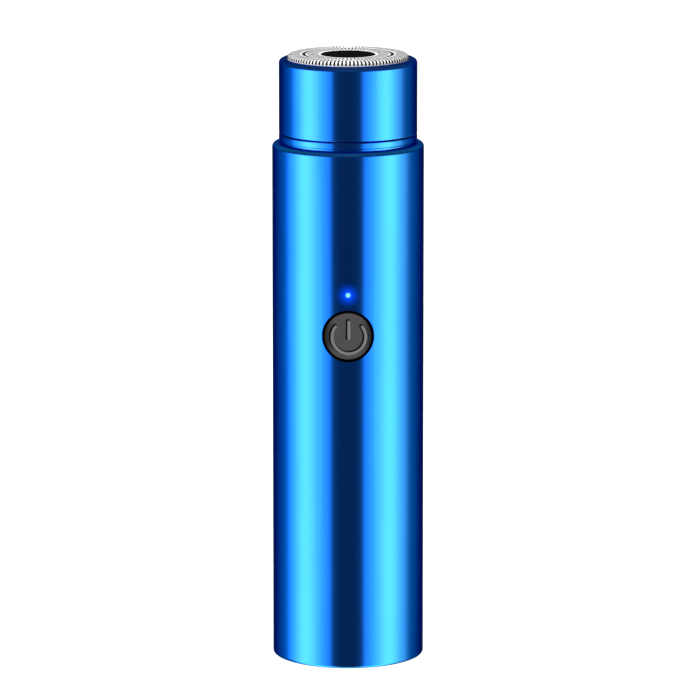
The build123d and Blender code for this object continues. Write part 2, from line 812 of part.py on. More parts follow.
# ---------------------------------------------------------------- circuit board
board_bottom_z = base_thickness + frame_floor / 2
with BuildPart() as circuit_board:
    with BuildSketch(Plane.XZ.offset(-board_front_y)):
        with Locations((0, board_bottom_z)):
            Rectangle(board_width, board_top_z - board_bottom_z, align=(Align.CENTER, Align.MIN))
        with Locations(*board_screw_places):
            Circle(screw_radius + screw_hole_gap, mode=Mode.SUBTRACT)
    extrude(amount=-board_thickness)
    fillet(circuit_board.edges().filter_by(Axis.Y).group_by(Axis.Z)[-1], board_width * 0.06)
save(circuit_board.part, "circuit_board")

with BuildPart() as usb_shell:
    with BuildSketch(Plane.XY.offset(usb_mouth_z)):
        with Locations((0, port_y)):
            SlotOverall(usb_width, usb_height)
    extrude(amount=usb_length)
    with BuildSketch(Plane.XY.offset(usb_mouth_z)):
        with Locations((0, port_y)):
            SlotOverall(usb_width - usb_wall * 2, usb_height - usb_wall * 2)
    extrude(amount=usb_length - usb_wall, mode=Mode.SUBTRACT)
save(usb_shell.part, "usb_shell")

tongue_z = usb_mouth_z + tongue_setback
with BuildPart() as usb_tongue:
    with BuildSketch(Plane.XY.offset(tongue_z)):
        with Locations((0, port_y)):
            Rectangle(tongue_width, tongue_thickness)
    extrude(amount=usb_top_z - usb_wall - tongue_z)
    with BuildSketch(Plane.XY.offset(usb_top_z - usb_wall)):
        with Locations((0, port_y)):
            SlotOverall(usb_width - usb_wall * 2, usb_height - usb_wall * 2)
    extrude(amount=-1)
save(usb_tongue.part, "usb_tongue")

plunger_bore_depth = switch_thickness - 0.2
plunger_reach = plunger_bore_depth - button_travel - part_gap
with BuildPart() as tactile_switch:
    with BuildSketch(Plane.XZ.offset(-board_front_y)):
        with Locations((0, button_z)):
            Rectangle(switch_width, switch_width)
    extrude(amount=switch_thickness)
    with BuildSketch(Plane.XZ.offset(-switch_front_y)):
        with Locations((0, button_z)):
            Circle(plunger_radius + part_gap)
    extrude(amount=-plunger_bore_depth, mode=Mode.SUBTRACT)
save(tactile_switch.part, "tactile_switch")

with BuildPart() as switch_plunger:
    with BuildSketch(Plane.XZ.offset(-plunger_tip_y)):
        with Locations((0, button_z)):
            Circle(plunger_radius)
    extrude(amount=-(plunger_height + plunger_reach))
save(switch_plunger.part, "switch_plunger")

with BuildPart() as led_chip:
    with Locations((0, board_front_y - led_chip_thickness / 2, led_z)):
        Box(led_chip_width, led_chip_thickness, led_chip_height)
save(led_chip.part, "led_chip")

with BuildPart() as charge_chip:
    with Locations((0, board_rear_y + chip_size[2] / 2, lower_board_rib_z + board_rib * 3)):
        Box(chip_size[0], chip_size[2], chip_size[1])
save(charge_chip.part, "charge_chip")

with BuildPart() as inductor:
    with Locations((0, board_rear_y + inductor_size[2] / 2, lower_board_rib_z + board_rib * 5)):
        Box(inductor_size[0], inductor_size[2], inductor_size[1])
    fillet(inductor.edges().filter_by(Axis.Y), inductor_size[0] * 0.15)
save(inductor.part, "inductor")

with BuildPart() as capacitors:
    for step in (2, 4, 6):
        with Locations((0, board_rear_y + capacitor_size[2] / 2, lower_board_rib_z + board_rib * step)):
            Box(capacitor_size[0], capacitor_size[2], capacitor_size[1])
save(capacitors.part, "capacitors")

# ---------------------------------------------------------------- wires
motor_wire_z = terminal_bottom_z - motor_wire_drop
wire_routes = {
    "cell_positive_wire": [
        (0, tab_front_y + 0.6, upper_wall_z),
        (0, tab_front_y + 0.6, upper_wall_z + cell_wire_rise),
        (0, board_rear_y, upper_wall_z + cell_wire_rise),
    ],
    "cell_negative_wire": [
        (0, tab_front_y + 0.6, lower_tab_z),
        (0, tab_front_y + 0.6, usb_top_z + wire_radius * 2),
        (0, board_rear_y, usb_top_z + wire_radius * 2),
    ],
    "motor_positive_wire": [
        (motor_screw_x, 0, terminal_bottom_z),
        (motor_screw_x, 0, motor_wire_z),
        (motor_screw_x, board_rear_y, motor_wire_z),
    ],
    "motor_negative_wire": [
        (-motor_screw_x, 0, terminal_bottom_z),
        (-motor_screw_x, 0, motor_wire_z),
        (-motor_screw_x, board_rear_y, motor_wire_z),
    ],
}
for wire_name, (wire_start, wire_corner, wire_end) in wire_routes.items():
    first_run = abs(wire_start[2] - wire_corner[2])
    second_run = abs(wire_end[1] - wire_corner[1])
    with BuildPart() as lead:
        with BuildLine() as lead_line:
            FilletPolyline(wire_start, wire_corner, wire_end, radius=min(first_run, second_run) * 0.6)
        with BuildSketch(Plane(origin=lead_line.line @ 0, z_dir=lead_line.line % 0)):
            Circle(wire_radius)
        sweep(path=lead_line.line)
    save(lead.part, wire_name)

# ---------------------------------------------------------------- button, guide and light pipe
symbol_middle_radius = symbol_radius - symbol_stroke / 2
with BuildPart() as button_cap:
    with BuildSketch(Plane.XZ.offset(-button_face_y)):
        with Locations((0, button_z)):
            Circle(button_radius)
    extrude(amount=-(flange_back_y - button_face_y))
    chamfer(button_cap.edges().sort_by(Axis.Y)[0], button_edge)
    with BuildSketch(Plane.XZ.offset(-flange_front_y)):
        with Locations((0, button_z)):
            Circle(flange_radius)
    extrude(amount=-button_flange_thickness)
    with BuildSketch(Plane.XZ.offset(-flange_back_y)):
        with Locations((0, button_z)):
            Circle(button_stem_radius)
    extrude(amount=-button_stem_length)
    # the power mark: an open ring and a bar, sunk into the face
    with BuildSketch(Plane.XZ.offset(-button_face_y)):
        with BuildLine():
            CenterArc((0, button_z), symbol_middle_radius, 90 + symbol_opening / 2, 360 - symbol_opening)
        trace(line_width=symbol_stroke)
        with Locations((0, button_z)):
            with PolarLocations(symbol_middle_radius, 2, 90 - symbol_opening / 2, symbol_opening, endpoint=True):
                Circle(symbol_stroke / 2)
        with Locations((0, button_z + symbol_bar_top - symbol_bar_length / 2)):
            SlotOverall(symbol_bar_length, symbol_stroke, rotation=90)
    extrude(amount=-symbol_depth, mode=Mode.SUBTRACT)
save(button_cap.part, "button_cap")

guide_bottom_z = button_z - flange_radius - guide_wall * 2
guide_top_z = led_z + board_above_led
with BuildPart() as button_guide:
    with BuildSketch(Plane.XY.offset(guide_bottom_z)):
        with Locations((0, guide_front_y)):
            Rectangle(guide_width, board_front_y - guide_front_y, align=(Align.CENTER, Align.MIN))
        with Locations((0, guide_back_y)):
            Rectangle(
                guide_width - guide_wall * 2,
                board_front_y - guide_back_y,
                align=(Align.CENTER, Align.MIN),
                mode=Mode.SUBTRACT,
            )
    extrude(amount=guide_top_z - guide_bottom_z)
    with BuildSketch(Plane.XZ.offset(-guide_back_y)):
        with Locations((0, button_z)):
            Circle(button_stem_radius + part_gap * 2)
        with Locations((0, led_z)):
            Circle(lens_radius + lens_gap)
    extrude(amount=guide_thickness, mode=Mode.SUBTRACT)
save(button_guide.part, "button_guide")

lens_rear_y = board_front_y - led_chip_thickness - part_gap
with BuildPart() as led_lens:
    with BuildSketch(Plane.XZ.offset(-button_face_y)):
        with Locations((0, led_z)):
            Circle(lens_radius)
    extrude(amount=-(lens_rear_y - button_face_y))
    fillet(led_lens.edges().sort_by(Axis.Y)[0], lens_radius * 0.3)
    with BuildSketch(Plane.XZ.offset(-guide_front_y)):
        with Locations((0, led_z)):
            Circle(lens_radius + lens_flange)
    extrude(amount=guide_thickness)
save(led_lens.part, "led_lens")

# ---------------------------------------------------------------- head
snap_z = step_z - snap_below_step
with BuildPart() as head_cap:
    with BuildSketch(Plane.XZ):
        with BuildLine():
            Polyline(
                (head_bore_radius, head_bottom_z),
                (head_radius, head_bottom_z),
                (head_radius, head_top_z),
                (foil_hole_radius, head_top_z),
                (foil_hole_radius, lip_bottom_z),
                (foil_bay_radius, lip_bottom_z),
                (foil_bay_radius, step_z),
                (head_bore_radius, step_z),
                (head_bore_radius, snap_z + snap_width),
                (head_bore_radius + snap_depth, snap_z + snap_width),
                (head_bore_radius + snap_depth, snap_z),
                (head_bore_radius, snap_z),
                close=True,
            )
        make_face()
    revolve(axis=Axis.Z)
    outer_rims = head_cap.edges().filter_by(GeomType.CIRCLE).filter_by(
        lambda edge: abs(edge.radius - head_radius) < 0.001
    )
    fillet(outer_rims.sort_by(Axis.Z)[-1], head_round)
    fillet(
        head_cap.edges().filter_by(GeomType.CIRCLE).filter_by(
            lambda edge: abs(edge.radius - head_radius) < 0.001
        ).sort_by(Axis.Z)[0],
        head_wall * 0.12,
    )
save(head_cap.part, "head_cap")

with BuildPart() as blade_retainer:
    with BuildSketch(Plane.XZ):
        with BuildLine():
            Polyline(
                (retainer_radius - retainer_wall, spigot_top_z),
                (retainer_radius, spigot_top_z),
                (retainer_radius, snap_z + slip_gap),
                (retainer_radius + snap_depth - slip_gap, snap_z + snap_width / 3),
                (retainer_radius + snap_depth - slip_gap, snap_z + snap_width * 2 / 3),
                (retainer_radius, snap_z + snap_width - slip_gap),
                (retainer_radius, retainer_top_z),
                (retainer_radius - retainer_wall, retainer_top_z),
                close=True,
            )
        make_face()
    revolve(axis=Axis.Z)
    with BuildSketch(Plane.XY.offset(bar_bottom_z)):
        Circle(eye_radius + retainer_eye_wall)
        with PolarLocations(0, retainer_bars, start_angle=90):
            Rectangle(retainer_radius - retainer_wall / 2, retainer_bar_width, align=(Align.MIN, Align.CENTER))
        Circle(eye_radius, mode=Mode.SUBTRACT)
    extrude(amount=retainer_bar)
save(blade_retainer.part, "blade_retainer")

# ---------------------------------------------------------------- foil
seat_z = foil_top_z - foil_sheet
groove_floor_z = foil_top_z - track_groove_depth
seat_radius = badge_radius + part_gap
slot_floor_z = head_top_z - head_lip / 4
with BuildPart() as foil:
    with BuildSketch(Plane.XZ):
        with BuildLine():
            Polyline(
                (0, seat_z),
                (seat_radius, seat_z),
                (seat_radius, foil_top_z),
                (track_groove_inner, foil_top_z),
                (track_groove_inner, groove_floor_z),
                (track_groove_outer, groove_floor_z),
                (track_groove_outer, foil_top_z),
                (foil_radius, foil_top_z),
                (foil_radius, lip_bottom_z),
                (foil_flange_radius, lip_bottom_z),
                (foil_flange_radius, flange_bottom_z),
                (foil_inner_radius, flange_bottom_z),
                (foil_inner_radius, foil_under_z),
                (track_groove_outer + foil_sheet, foil_under_z),
                (track_groove_outer + foil_sheet, groove_floor_z - foil_sheet),
                (track_groove_inner - foil_sheet, groove_floor_z - foil_sheet),
                (track_groove_inner - foil_sheet, foil_under_z),
                (seat_radius + foil_sheet, foil_under_z),
                (seat_radius + foil_sheet, seat_z - foil_sheet),
                (0, seat_z - foil_sheet),
                close=True,
            )
        make_face()
    revolve(axis=Axis.Z)
    top_rim = foil.edges().filter_by(GeomType.CIRCLE).filter_by(
        lambda edge: abs(edge.radius - foil_radius) < 0.001
    ).sort_by(Axis.Z)[-1]
    fillet(top_rim, foil_edge_round)
    # the outer slots run over the edge and down the wall; the inner ones stay on the inner track
    with BuildSketch(Plane.XY.offset(slot_floor_z)):
        with PolarLocations(outer_slot_start, outer_slot_count):
            Rectangle(foil_radius, outer_slot_width, align=(Align.MIN, Align.CENTER))
    extrude(amount=foil_top_z, mode=Mode.SUBTRACT)
    with BuildSketch(Plane.XY.offset(foil_under_z - foil_sheet / 2)):
        with PolarLocations(inner_slot_start, inner_slot_count):
            Rectangle(inner_slot_end - inner_slot_start, inner_slot_width, align=(Align.MIN, Align.CENTER))
    extrude(amount=foil_top_z, mode=Mode.SUBTRACT)
    with BuildSketch(Plane.XY.offset(seat_z - foil_sheet)):
        Circle(badge_stud_radius + part_gap)
    extrude(amount=foil_sheet, mode=Mode.SUBTRACT)
save(foil.part, "foil")

dome_radius = (badge_radius**2 + badge_dome**2) / (badge_dome * 2)
dome_centre_z = foil_top_z + badge_dome - dome_radius
with BuildPart() as foil_cap:
    with BuildSketch(Plane.XY.offset(seat_z)):
        Circle(badge_radius)
    extrude(amount=foil_sheet + badge_dome)
    with Locations((0, 0, dome_centre_z)):
        Sphere(dome_radius, mode=Mode.INTERSECT)
    with BuildSketch(Plane.XY.offset(seat_z)):
        Circle(badge_stud_radius)
    extrude(amount=-badge_stud_length)
save(foil_cap.part, "foil_cap")

# ---------------------------------------------------------------- cutter
outer_blade_start = track_groove_outer + foil_sheet + part_gap * 2
inner_blade_start = inner_slot_start - part_gap * 2
inner_blade_end = track_groove_inner - foil_sheet - part_gap
outer_blade = cutter_blade(outer_blade_start, cutter_radius - part_gap)
inner_blade = cutter_blade(inner_blade_start, inner_blade_end)
with BuildPart() as cutter_wheel:
    with BuildSketch(Plane.XY.offset(cutter_bottom_z)):
        Circle(cutter_radius)
        Circle(hub_stud_radius + slip_gap, mode=Mode.SUBTRACT)
    extrude(amount=cutter_plate)
    with PolarLocations(0, outer_blade_count):
        add(outer_blade)
    with PolarLocations(0, inner_blade_count):
        add(inner_blade)
save(cutter_wheel.part, "cutter_wheel")

with BuildPart() as cutter_hub:
    with BuildSketch(Plane.XY.offset(hub_bottom_z)):
        Circle(hub_radius)
    extrude(amount=hub_length)
    with BuildSketch(Plane.XY.offset(hub_flange_z)):
        Circle(hub_radius + hub_flange)
    extrude(amount=hub_flange_thickness)
    with BuildSketch(Plane.XY.offset(cutter_bottom_z)):
        Circle(hub_stud_radius)
    extrude(amount=cutter_plate)
    with BuildSketch(Plane.XY.offset(cutter_top_z)):
        Circle(hub_rivet_radius)
    extrude(amount=hub_rivet_height)
    fillet(cutter_hub.edges().sort_by(Axis.Z)[-1], hub_rivet_height * 0.5)
    with BuildSketch(Plane.XY.offset(hub_bottom_z)):
        Rectangle(tip_width + tip_gap * 2, tip_width + tip_gap * 2)
    extrude(amount=tip_length, mode=Mode.SUBTRACT)
save(cutter_hub.part, "cutter_hub")

print("overall height", foil_top_z + badge_dome)
print("button centre", button_z, "light", led_z, "port centre y", port_y, "cell centre y", cell_y)
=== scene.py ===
"""Pocket rotary shaver: the look of its pieces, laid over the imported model.

Metres, +Z up along the handle's axis, origin at the middle of the foot, button on the -Y side.
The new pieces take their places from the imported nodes, and their finer sizes are named in their
classes. Each sub-assembly is a class that builds its own pieces and dresses the nodes it keeps.
"""

import logging
import math
from abc import ABC, abstractmethod
from dataclasses import dataclass, field
from enum import Enum
from typing import Any, Callable, ClassVar, Sequence

import bmesh
import bpy
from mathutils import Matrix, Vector


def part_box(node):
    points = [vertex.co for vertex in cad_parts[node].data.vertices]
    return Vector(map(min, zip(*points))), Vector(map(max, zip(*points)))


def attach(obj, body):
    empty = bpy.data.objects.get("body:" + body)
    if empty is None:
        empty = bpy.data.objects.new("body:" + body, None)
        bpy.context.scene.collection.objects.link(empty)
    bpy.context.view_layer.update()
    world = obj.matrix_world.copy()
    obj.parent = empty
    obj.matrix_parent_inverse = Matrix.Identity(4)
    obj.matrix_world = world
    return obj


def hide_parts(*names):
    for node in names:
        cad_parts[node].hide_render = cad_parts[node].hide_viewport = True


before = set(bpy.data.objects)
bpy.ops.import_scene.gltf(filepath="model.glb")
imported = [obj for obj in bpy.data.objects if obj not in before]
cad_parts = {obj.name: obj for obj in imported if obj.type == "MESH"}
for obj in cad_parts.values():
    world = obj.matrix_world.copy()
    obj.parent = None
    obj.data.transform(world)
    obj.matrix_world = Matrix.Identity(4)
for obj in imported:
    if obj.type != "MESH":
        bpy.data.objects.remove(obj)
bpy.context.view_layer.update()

MM = 0.001
HALF_TURN = 180.0
Rgb = tuple[float, float, float]
Pair = tuple[float, float]
Stops = Sequence[Pair]
log = logging.getLogger("shaver")


class Body(Enum):
    """The bodies that the new pieces ride on."""

    BUTTON = "button"
    FOIL = "foil"


class Grain(Enum):
    """The direction in which a metal was worked."""

    TURNED = "rings round the handle's axis"
    DRAWN = "lines along the handle's axis"
    PLATED = "no direction, a fine plated surface"
    SINTERED = "no direction, pressed powder"


# ---------------------------------------------------------------- node trees
class Graph:
    """One material's node tree, built a node at a time."""

    def __init__(self, name: str) -> None:
        """Start an empty tree.

        Args:
            name: The material's name.
        """
        self.material = bpy.data.materials.new(name)
        self.material.use_nodes = True
        self.nodes = self.material.node_tree.nodes
        self.links = self.material.node_tree.links
        self.nodes.clear()
        coordinates = self.add("ShaderNodeTexCoord")
        self.place = coordinates.outputs["Object"]
        self.facing = coordinates.outputs["Normal"]

    def add(
        self,
        kind: str,
        settings: dict[str, Any] | None = None,
        feeds: dict[Any, Any] | None = None,
    ) -> Any:
        """Add one node.

        Args:
            kind: The node's type name.
            settings: Options set on the node.
            feeds: Values or output sockets for the node's inputs, by input name or number.

        Returns:
            The node.
        """
        node = self.nodes.new(kind)
        for name, value in (settings or {}).items():
            setattr(node, name, value)
        for name, value in (feeds or {}).items():
            if isinstance(value, bpy.types.NodeSocket):
                self.links.new(value, node.inputs[name])
            else:
                node.inputs[name].default_value = value
        return node

    def math(self, operation: str, first: Any, second: Any = 0.5) -> Any:
        """Work out one number.

        Args:
            operation: The Math node's operation.
            first: The first number or socket.
            second: The second one, which some operations don't read.

        Returns:
            The result's socket.
        """
        return self.add("ShaderNodeMath", {"operation": operation}, {0: first, 1: second}).outputs[0]

    def product(self, *factors: Any) -> Any:
        """Multiply two or more numbers or sockets."""
        result = factors[0]
        for factor in factors[1:]:
            result = self.math("MULTIPLY", result, factor)
        return result

    def vector_math(self, operation: str, first: Any, second: Any = (0.0, 0.0, 0.0)) -> Any:
        """Add the node of one operation on vectors.

        Args:
            operation: The Vector Math node's operation.
            first: The first vector.
            second: The second one, which some operations don't read.

        Returns:
            The node, whose output is a vector or a value.
        """
        return self.add("ShaderNodeVectorMath", {"operation": operation}, {0: first, 1: second})

    def parts(self, vector: Any = None) -> tuple[Any, Any, Any]:
        """Split a vector, or the place on the object, into its three numbers."""
        split = self.add("ShaderNodeSeparateXYZ", None, {0: vector or self.place})
        return split.outputs[0], split.outputs[1], split.outputs[2]

    def stretched(self, x: float, y: float, z: float, vector: Any = None) -> Any:
        """Scale a vector, or the place on the object, differently along each axis."""
        return self.vector_math("MULTIPLY", vector or self.place, (x, y, z)).outputs[0]

    def from_point(self, x: float, z: float) -> Any:
        """Distance of the place from a line along Y through (x, z), in metres."""
        moved = self.vector_math("SUBTRACT", self.place, (x, 0.0, z)).outputs[0]
        return self.vector_math("LENGTH", self.stretched(1, 0, 1, moved)).outputs["Value"]

    def radius(self) -> Any:
        """Distance of the place from the handle's axis, in metres."""
        return self.vector_math("LENGTH", self.stretched(1, 1, 0)).outputs["Value"]

    def rings(self, pitch: float) -> Any:
        """Noise that runs in rings round the handle's axis, this far apart in metres."""
        across = self.add("ShaderNodeCombineXYZ", None, {0: self.radius()}).outputs[0]
        return self.noise(pitch, 3.0, across)

    def noise(self, size: float, detail: float = 2.0, vector: Any = None, seed: float = 0.0) -> Any:
        """Cloudy noise about 0.5.

        Args:
            size: Size of one cloud, in metres.
            detail: Octaves of finer detail.
            vector: The place to read it at, if not the object's own.
            seed: A different seed gives a different cloud.

        Returns:
            The noise's socket.
        """
        return self.add(
            "ShaderNodeTexNoise",
            {"noise_dimensions": "4D"},
            {"Vector": vector or self.place, "W": seed, "Scale": 1.0 / size, "Detail": detail},
        ).outputs[0]

    def spread(self, value: Any, low: float, high: float, start: float = 0.25, end: float = 0.75) -> Any:
        """Spread a number that runs from start to end smoothly over low to high."""
        return self.add(
            "ShaderNodeMapRange",
            {"interpolation_type": "SMOOTHSTEP"},
            {0: value, 1: start, 2: end, 3: low, 4: high},
        ).outputs[0]

    def about(self, value: Any, middle: float, change: float) -> Any:
        """Spread noise over this much to either side of a middle value."""
        return self.spread(value, middle - change, middle + change)

    def curve(self, value: Any, stops: Stops) -> Any:
        """Read a smooth curve.

        Args:
            value: A number from 0 to 1.
            stops: Pairs of place and height, from 0 to 1 each.

        Returns:
            The curve's height there.
        """
        ramp = self.add("ShaderNodeValToRGB", None, {0: value})
        ramp.color_ramp.interpolation = "EASE"
        elements = ramp.color_ramp.elements
        while len(elements) < len(stops):
            elements.new(0.5)
        for element, (place, height) in zip(elements, stops):
            element.position = place
            element.color = (height, height, height, 1.0)
        return ramp.outputs[0]

    def mix(self, amount: Any, first: Any, second: Any) -> Any:
        """Mix two colours."""
        return self.add(
            "ShaderNodeMix", {"data_type": "RGBA"}, {0: amount, 6: paint(first), 7: paint(second)}
        ).outputs[2]

    def shaded(self, colour: Any, value: Any) -> Any:
        """Multiply a colour by a number that varies over the surface."""
        return self.add(
            "ShaderNodeVectorMath", {"operation": "SCALE"}, {0: colour, "Scale": value}
        ).outputs[0]

    def bump(self, height: Any, depth: float) -> Any:
        """Raise the surface by a height map.

        Args:
            height: The height, from 0 to 1.
            depth: How high 1 stands, in metres.

        Returns:
            The normal's socket.
        """
        feeds = {"Strength": 1.0, "Distance": depth, "Height": height}
        return self.add("ShaderNodeBump", None, feeds).outputs[0]

    def surface(self, shader: Any) -> bpy.types.Material:
        """Give the material its surface.

        Args:
            shader: The last shader's socket.

        Returns:
            The material.
        """
        self.add("ShaderNodeOutputMaterial", None, {"Surface": shader})
        return self.material

    def principled(self, feeds: dict[str, Any]) -> bpy.types.Material:
        """End the tree in one Principled shader with these inputs."""
        return self.surface(self.add("ShaderNodeBsdfPrincipled", None, feeds).outputs[0])


def paint(colour: Any) -> Any:
    """Give a plain colour its alpha, and pass a socket on as it is."""
    return (*colour, 1.0) if isinstance(colour, tuple) and len(colour) == 3 else colour


def shares_of(whole: float, shares: Pair) -> Pair:
    """Two shares of a length, in metres."""
    return whole * shares[0], whole * shares[1]


# ---------------------------------------------------------------- finishes
@dataclass(frozen=True)
class Finish(ABC):
    """A finish that is mixed once and shared by all the pieces that have it.

    A pair of tones, roughnesses or shares holds the values between which it varies.
    """

    made: ClassVar[dict["Finish", bpy.types.Material]] = {}

    def material(self) -> bpy.types.Material:
        """The finish's material, made the first time that it is asked for."""
        if self not in Finish.made:
            Finish.made[self] = self.mixed(Graph(type(self).__name__.lower()))
        return Finish.made[self]

    @abstractmethod
    def mixed(self, graph: Graph) -> bpy.types.Material:
        """Lay the finish's nodes.

        Args:
            graph: An empty tree.

        Returns:
            The finished material.
        """


@dataclass(frozen=True)
class Anodised(Finish):
    """Fine-blasted, dyed and sealed aluminium. Its rims and cut ends, the faces that look up or down, get
    painted shade and a painted reflection tint of their own.

    The halo is a glow painted into the metal as emission round a light that is let into it at light_z.
    """

    dye: Rgb = (0.027, 0.2, 1.0)
    roughness: float = 0.12
    grain: float = 0.16 * MM
    grain_tone: float = 0.05
    depth: float = 0.0025 * MM
    cloud: float = 22 * MM
    cloud_tone: float = 0.03
    cloud_roughness: float = 0.01
    # Colour and tone of the painted shade and reflection tint on faces that look up or down.
    rim_shade_colour: Rgb = (0.027, 0.2, 1.0)
    rim_shade_tone: float = 0.8
    rim_facing: Pair = (0.9, 0.99)
    cut_roughness: float = 0.2
    edge_tint: Rgb = (0.03, 0.22, 0.7)
    light_z: float = -1.0
    halo: Rgb = (0.0, 0.06, 1.0)
    halo_start: float = 0.6 * MM
    halo_end: float = 3.6 * MM
    halo_level: float = 0.75
    halo_fall: float = 3.0
    halo_back: float = -2 * MM

    def mixed(self, graph: Graph) -> bpy.types.Material:
        """Lay the dye's clouds, the blasted grain, the painted shade and tint on the rims and cut ends
        and, round a light, a painted glow.
        """
        grain = graph.noise(self.grain, 3.0)
        cloud = graph.noise(self.cloud, 2.0, seed=3.0)
        upright = graph.math("ABSOLUTE", graph.parts(graph.facing)[2])
        # Mask of the faces that look up or down, the rims and cut ends; their colour and tone below are
        # painted shade and a painted reflection tint.
        cut = graph.spread(upright, 0.0, 1.0, *self.rim_facing)
        speckle = graph.about(grain, 0.0, self.grain_tone)
        tone = graph.math("ADD", speckle, graph.about(cloud, 1.0, self.cloud_tone))
        tone = graph.product(tone, graph.spread(cut, 1.0, self.rim_shade_tone, 0.0, 1.0))
        roughness = graph.math("ADD", graph.about(cloud, 0.0, self.cloud_roughness), self.roughness)
        feeds = {
            "Base Color": graph.shaded(graph.mix(cut, self.dye, self.rim_shade_colour), tone),
            "Metallic": 1.0,
            "Specular Tint": paint(self.edge_tint),
            "Roughness": graph.math("ADD", roughness, graph.product(cut, self.cut_roughness)),
            "Normal": graph.bump(grain, self.depth),
        }
        # Painted glow: emission on the metal round the light, fading with distance and towards the back.
        if self.light_z > 0:
            away = graph.from_point(0.0, self.light_z)
            fall = graph.spread(away, 1.0, 0.0, self.halo_start, self.halo_end)
            front = graph.spread(graph.parts()[1], 1.0, 0.0, self.halo_back, 0.0)
            fall = graph.math("POWER", fall, self.halo_fall)
            feeds["Emission Color"] = paint(self.halo)
            feeds["Emission Strength"] = graph.product(fall, self.halo_level, front)
        return graph.principled(feeds)


@dataclass(frozen=True)
class Moulded(Finish):
    """Moulded plastic or rubber with a fine eroded texture."""

    colour: Rgb
    roughness: float = 0.5
    texture: float = 0.12 * MM
    depth: float = 0.006 * MM
    mottle: float = 0.08
    patch: float = 3 * MM
    polish: float = 0.06
    dulling: float = 0.05

    def mixed(self, graph: Graph) -> bpy.types.Material:
        """Lay the mould's texture, a slight mottle and rubbed patches."""
        texture = graph.noise(self.texture, 2.0)
        rubbed = graph.noise(self.patch, 3.0, seed=5.0)
        tone = graph.math("ADD", graph.about(texture, 0.0, self.mottle), 1.0)
        return graph.principled(
            {
                "Base Color": graph.shaded(self.colour, tone),
                "Roughness": graph.spread(
                    rubbed, self.roughness - self.polish, self.roughness + self.dulling
                ),
                "Normal": graph.bump(texture, self.depth),
            }
        )


@dataclass(frozen=True)
class Printed(Finish):
    """Deep black print under a thin film that doesn't shine."""

    colour: Rgb
    roughness: float = 0.2
    dulling: float = 0.08
    wave: float = 1.6 * MM
    wave_depth: float = 0.004 * MM
    haze: float = 0.9 * MM
    haze_tones: Pair = (0.8, 1.3)

    def mixed(self, graph: Graph) -> bpy.types.Material:
        """Lay the film's faint waves and the haze of handling."""
        waves = graph.noise(self.wave, 1.0)
        haze = graph.noise(self.haze, 4.0, seed=2.0)
        return graph.principled(
            {
                "Base Color": graph.shaded(self.colour, graph.spread(haze, *self.haze_tones)),
                "Roughness": graph.spread(haze, self.roughness, self.roughness + self.dulling),
                "Specular IOR Level": 0.0,
                "Normal": graph.bump(waves, self.wave_depth),
            }
        )


@dataclass(frozen=True)
class MarkedButton(Finish):
    """Satin plastic button, with painted shade to its sides, round its edge and in the groove round its
    fill, and a lighter fill in its sunk power mark.

    The pairs inside, side and edge, which bound the painted shade, and sheen_end are shares of the radius
    between which a tone changes. The fill starts within the shares sunk of its depth and ends within the
    shares deep.
    """

    centre_z: float
    face_y: float
    fill_depth: float
    radius: float
    face: Rgb = (0.067, 0.062, 0.061)
    mark: Rgb = (0.22, 0.21, 0.21)
    # Tones of the painted shade in the groove round the fill, to the sides and round the edge.
    groove_shade_tone: float = 0.06
    side_shade_tone: float = 0.3
    edge_shade_tone: float = 0.03
    sheen: float = 0.5
    inside: Pair = (0.86, 0.88)
    sunk: Pair = (0.7, 0.9)
    deep: Pair = (1.1, 1.4)
    side_shade: Pair = (0.5, 0.9)
    edge: Pair = (0.92, 0.955)
    sheen_end: Pair = (0.89, 0.94)
    roughness: Pair = (0.42, 0.5)
    texture: float = 0.14 * MM
    texture_tone: float = 0.06
    texture_depth: float = 0.004 * MM
    cloud: float = 2.5 * MM
    cloud_tone: float = 0.04

    def mixed(self, graph: Graph) -> bpy.types.Material:
        """Lay the satin texture, paint shade on the sides, the edge and the groove round the fill, and
        colour the fill by its depth.
        """
        texture = graph.noise(self.texture, 2.0)
        cloud = graph.noise(self.cloud, 2.0, seed=4.0)
        x, y, _ = graph.parts()
        away = graph.from_point(0.0, self.centre_z)
        inside = graph.spread(away, 1.0, 0.0, *shares_of(self.radius, self.inside))
        depth = graph.math("SUBTRACT", y, self.face_y)
        sunk = graph.spread(depth, 0.0, 1.0, *shares_of(self.fill_depth, self.sunk))
        deep = graph.spread(depth, 0.0, 1.0, *shares_of(self.fill_depth, self.deep))
        fill = graph.product(inside, graph.math("SUBTRACT", sunk, deep))
        colour = graph.mix(fill, self.face, self.mark)
        speckle = graph.about(texture, 0.0, self.texture_tone)
        tone = graph.math("ADD", speckle, graph.about(cloud, 1.0, self.cloud_tone))
        # Painted shade: the face darkens towards its left and right sides.
        across = graph.math("ABSOLUTE", x)
        side_shade = graph.spread(across, 1.0, self.side_shade_tone, *shares_of(self.radius, self.side_shade))
        side_shade = graph.math("MAXIMUM", side_shade, fill)
        # Painted shade round the edge, where the gap about the button lies.
        edge = graph.spread(away, 1.0, self.edge_shade_tone, *shares_of(self.radius, self.edge))
        sheen = graph.spread(away, self.sheen, 0.0, *shares_of(self.radius, self.sheen_end))
        # Painted shade in the groove round the fill, below the fill's top.
        groove = graph.spread(graph.product(inside, deep), 1.0, self.groove_shade_tone, 0.0, 1.0)
        return graph.principled(
            {
                "Base Color": graph.shaded(colour, graph.product(tone, side_shade, edge, groove)),
                "Roughness": graph.spread(cloud, *self.roughness),
                "Specular IOR Level": graph.product(side_shade, sheen),
                "Normal": graph.bump(texture, self.texture_depth),
            }
        )


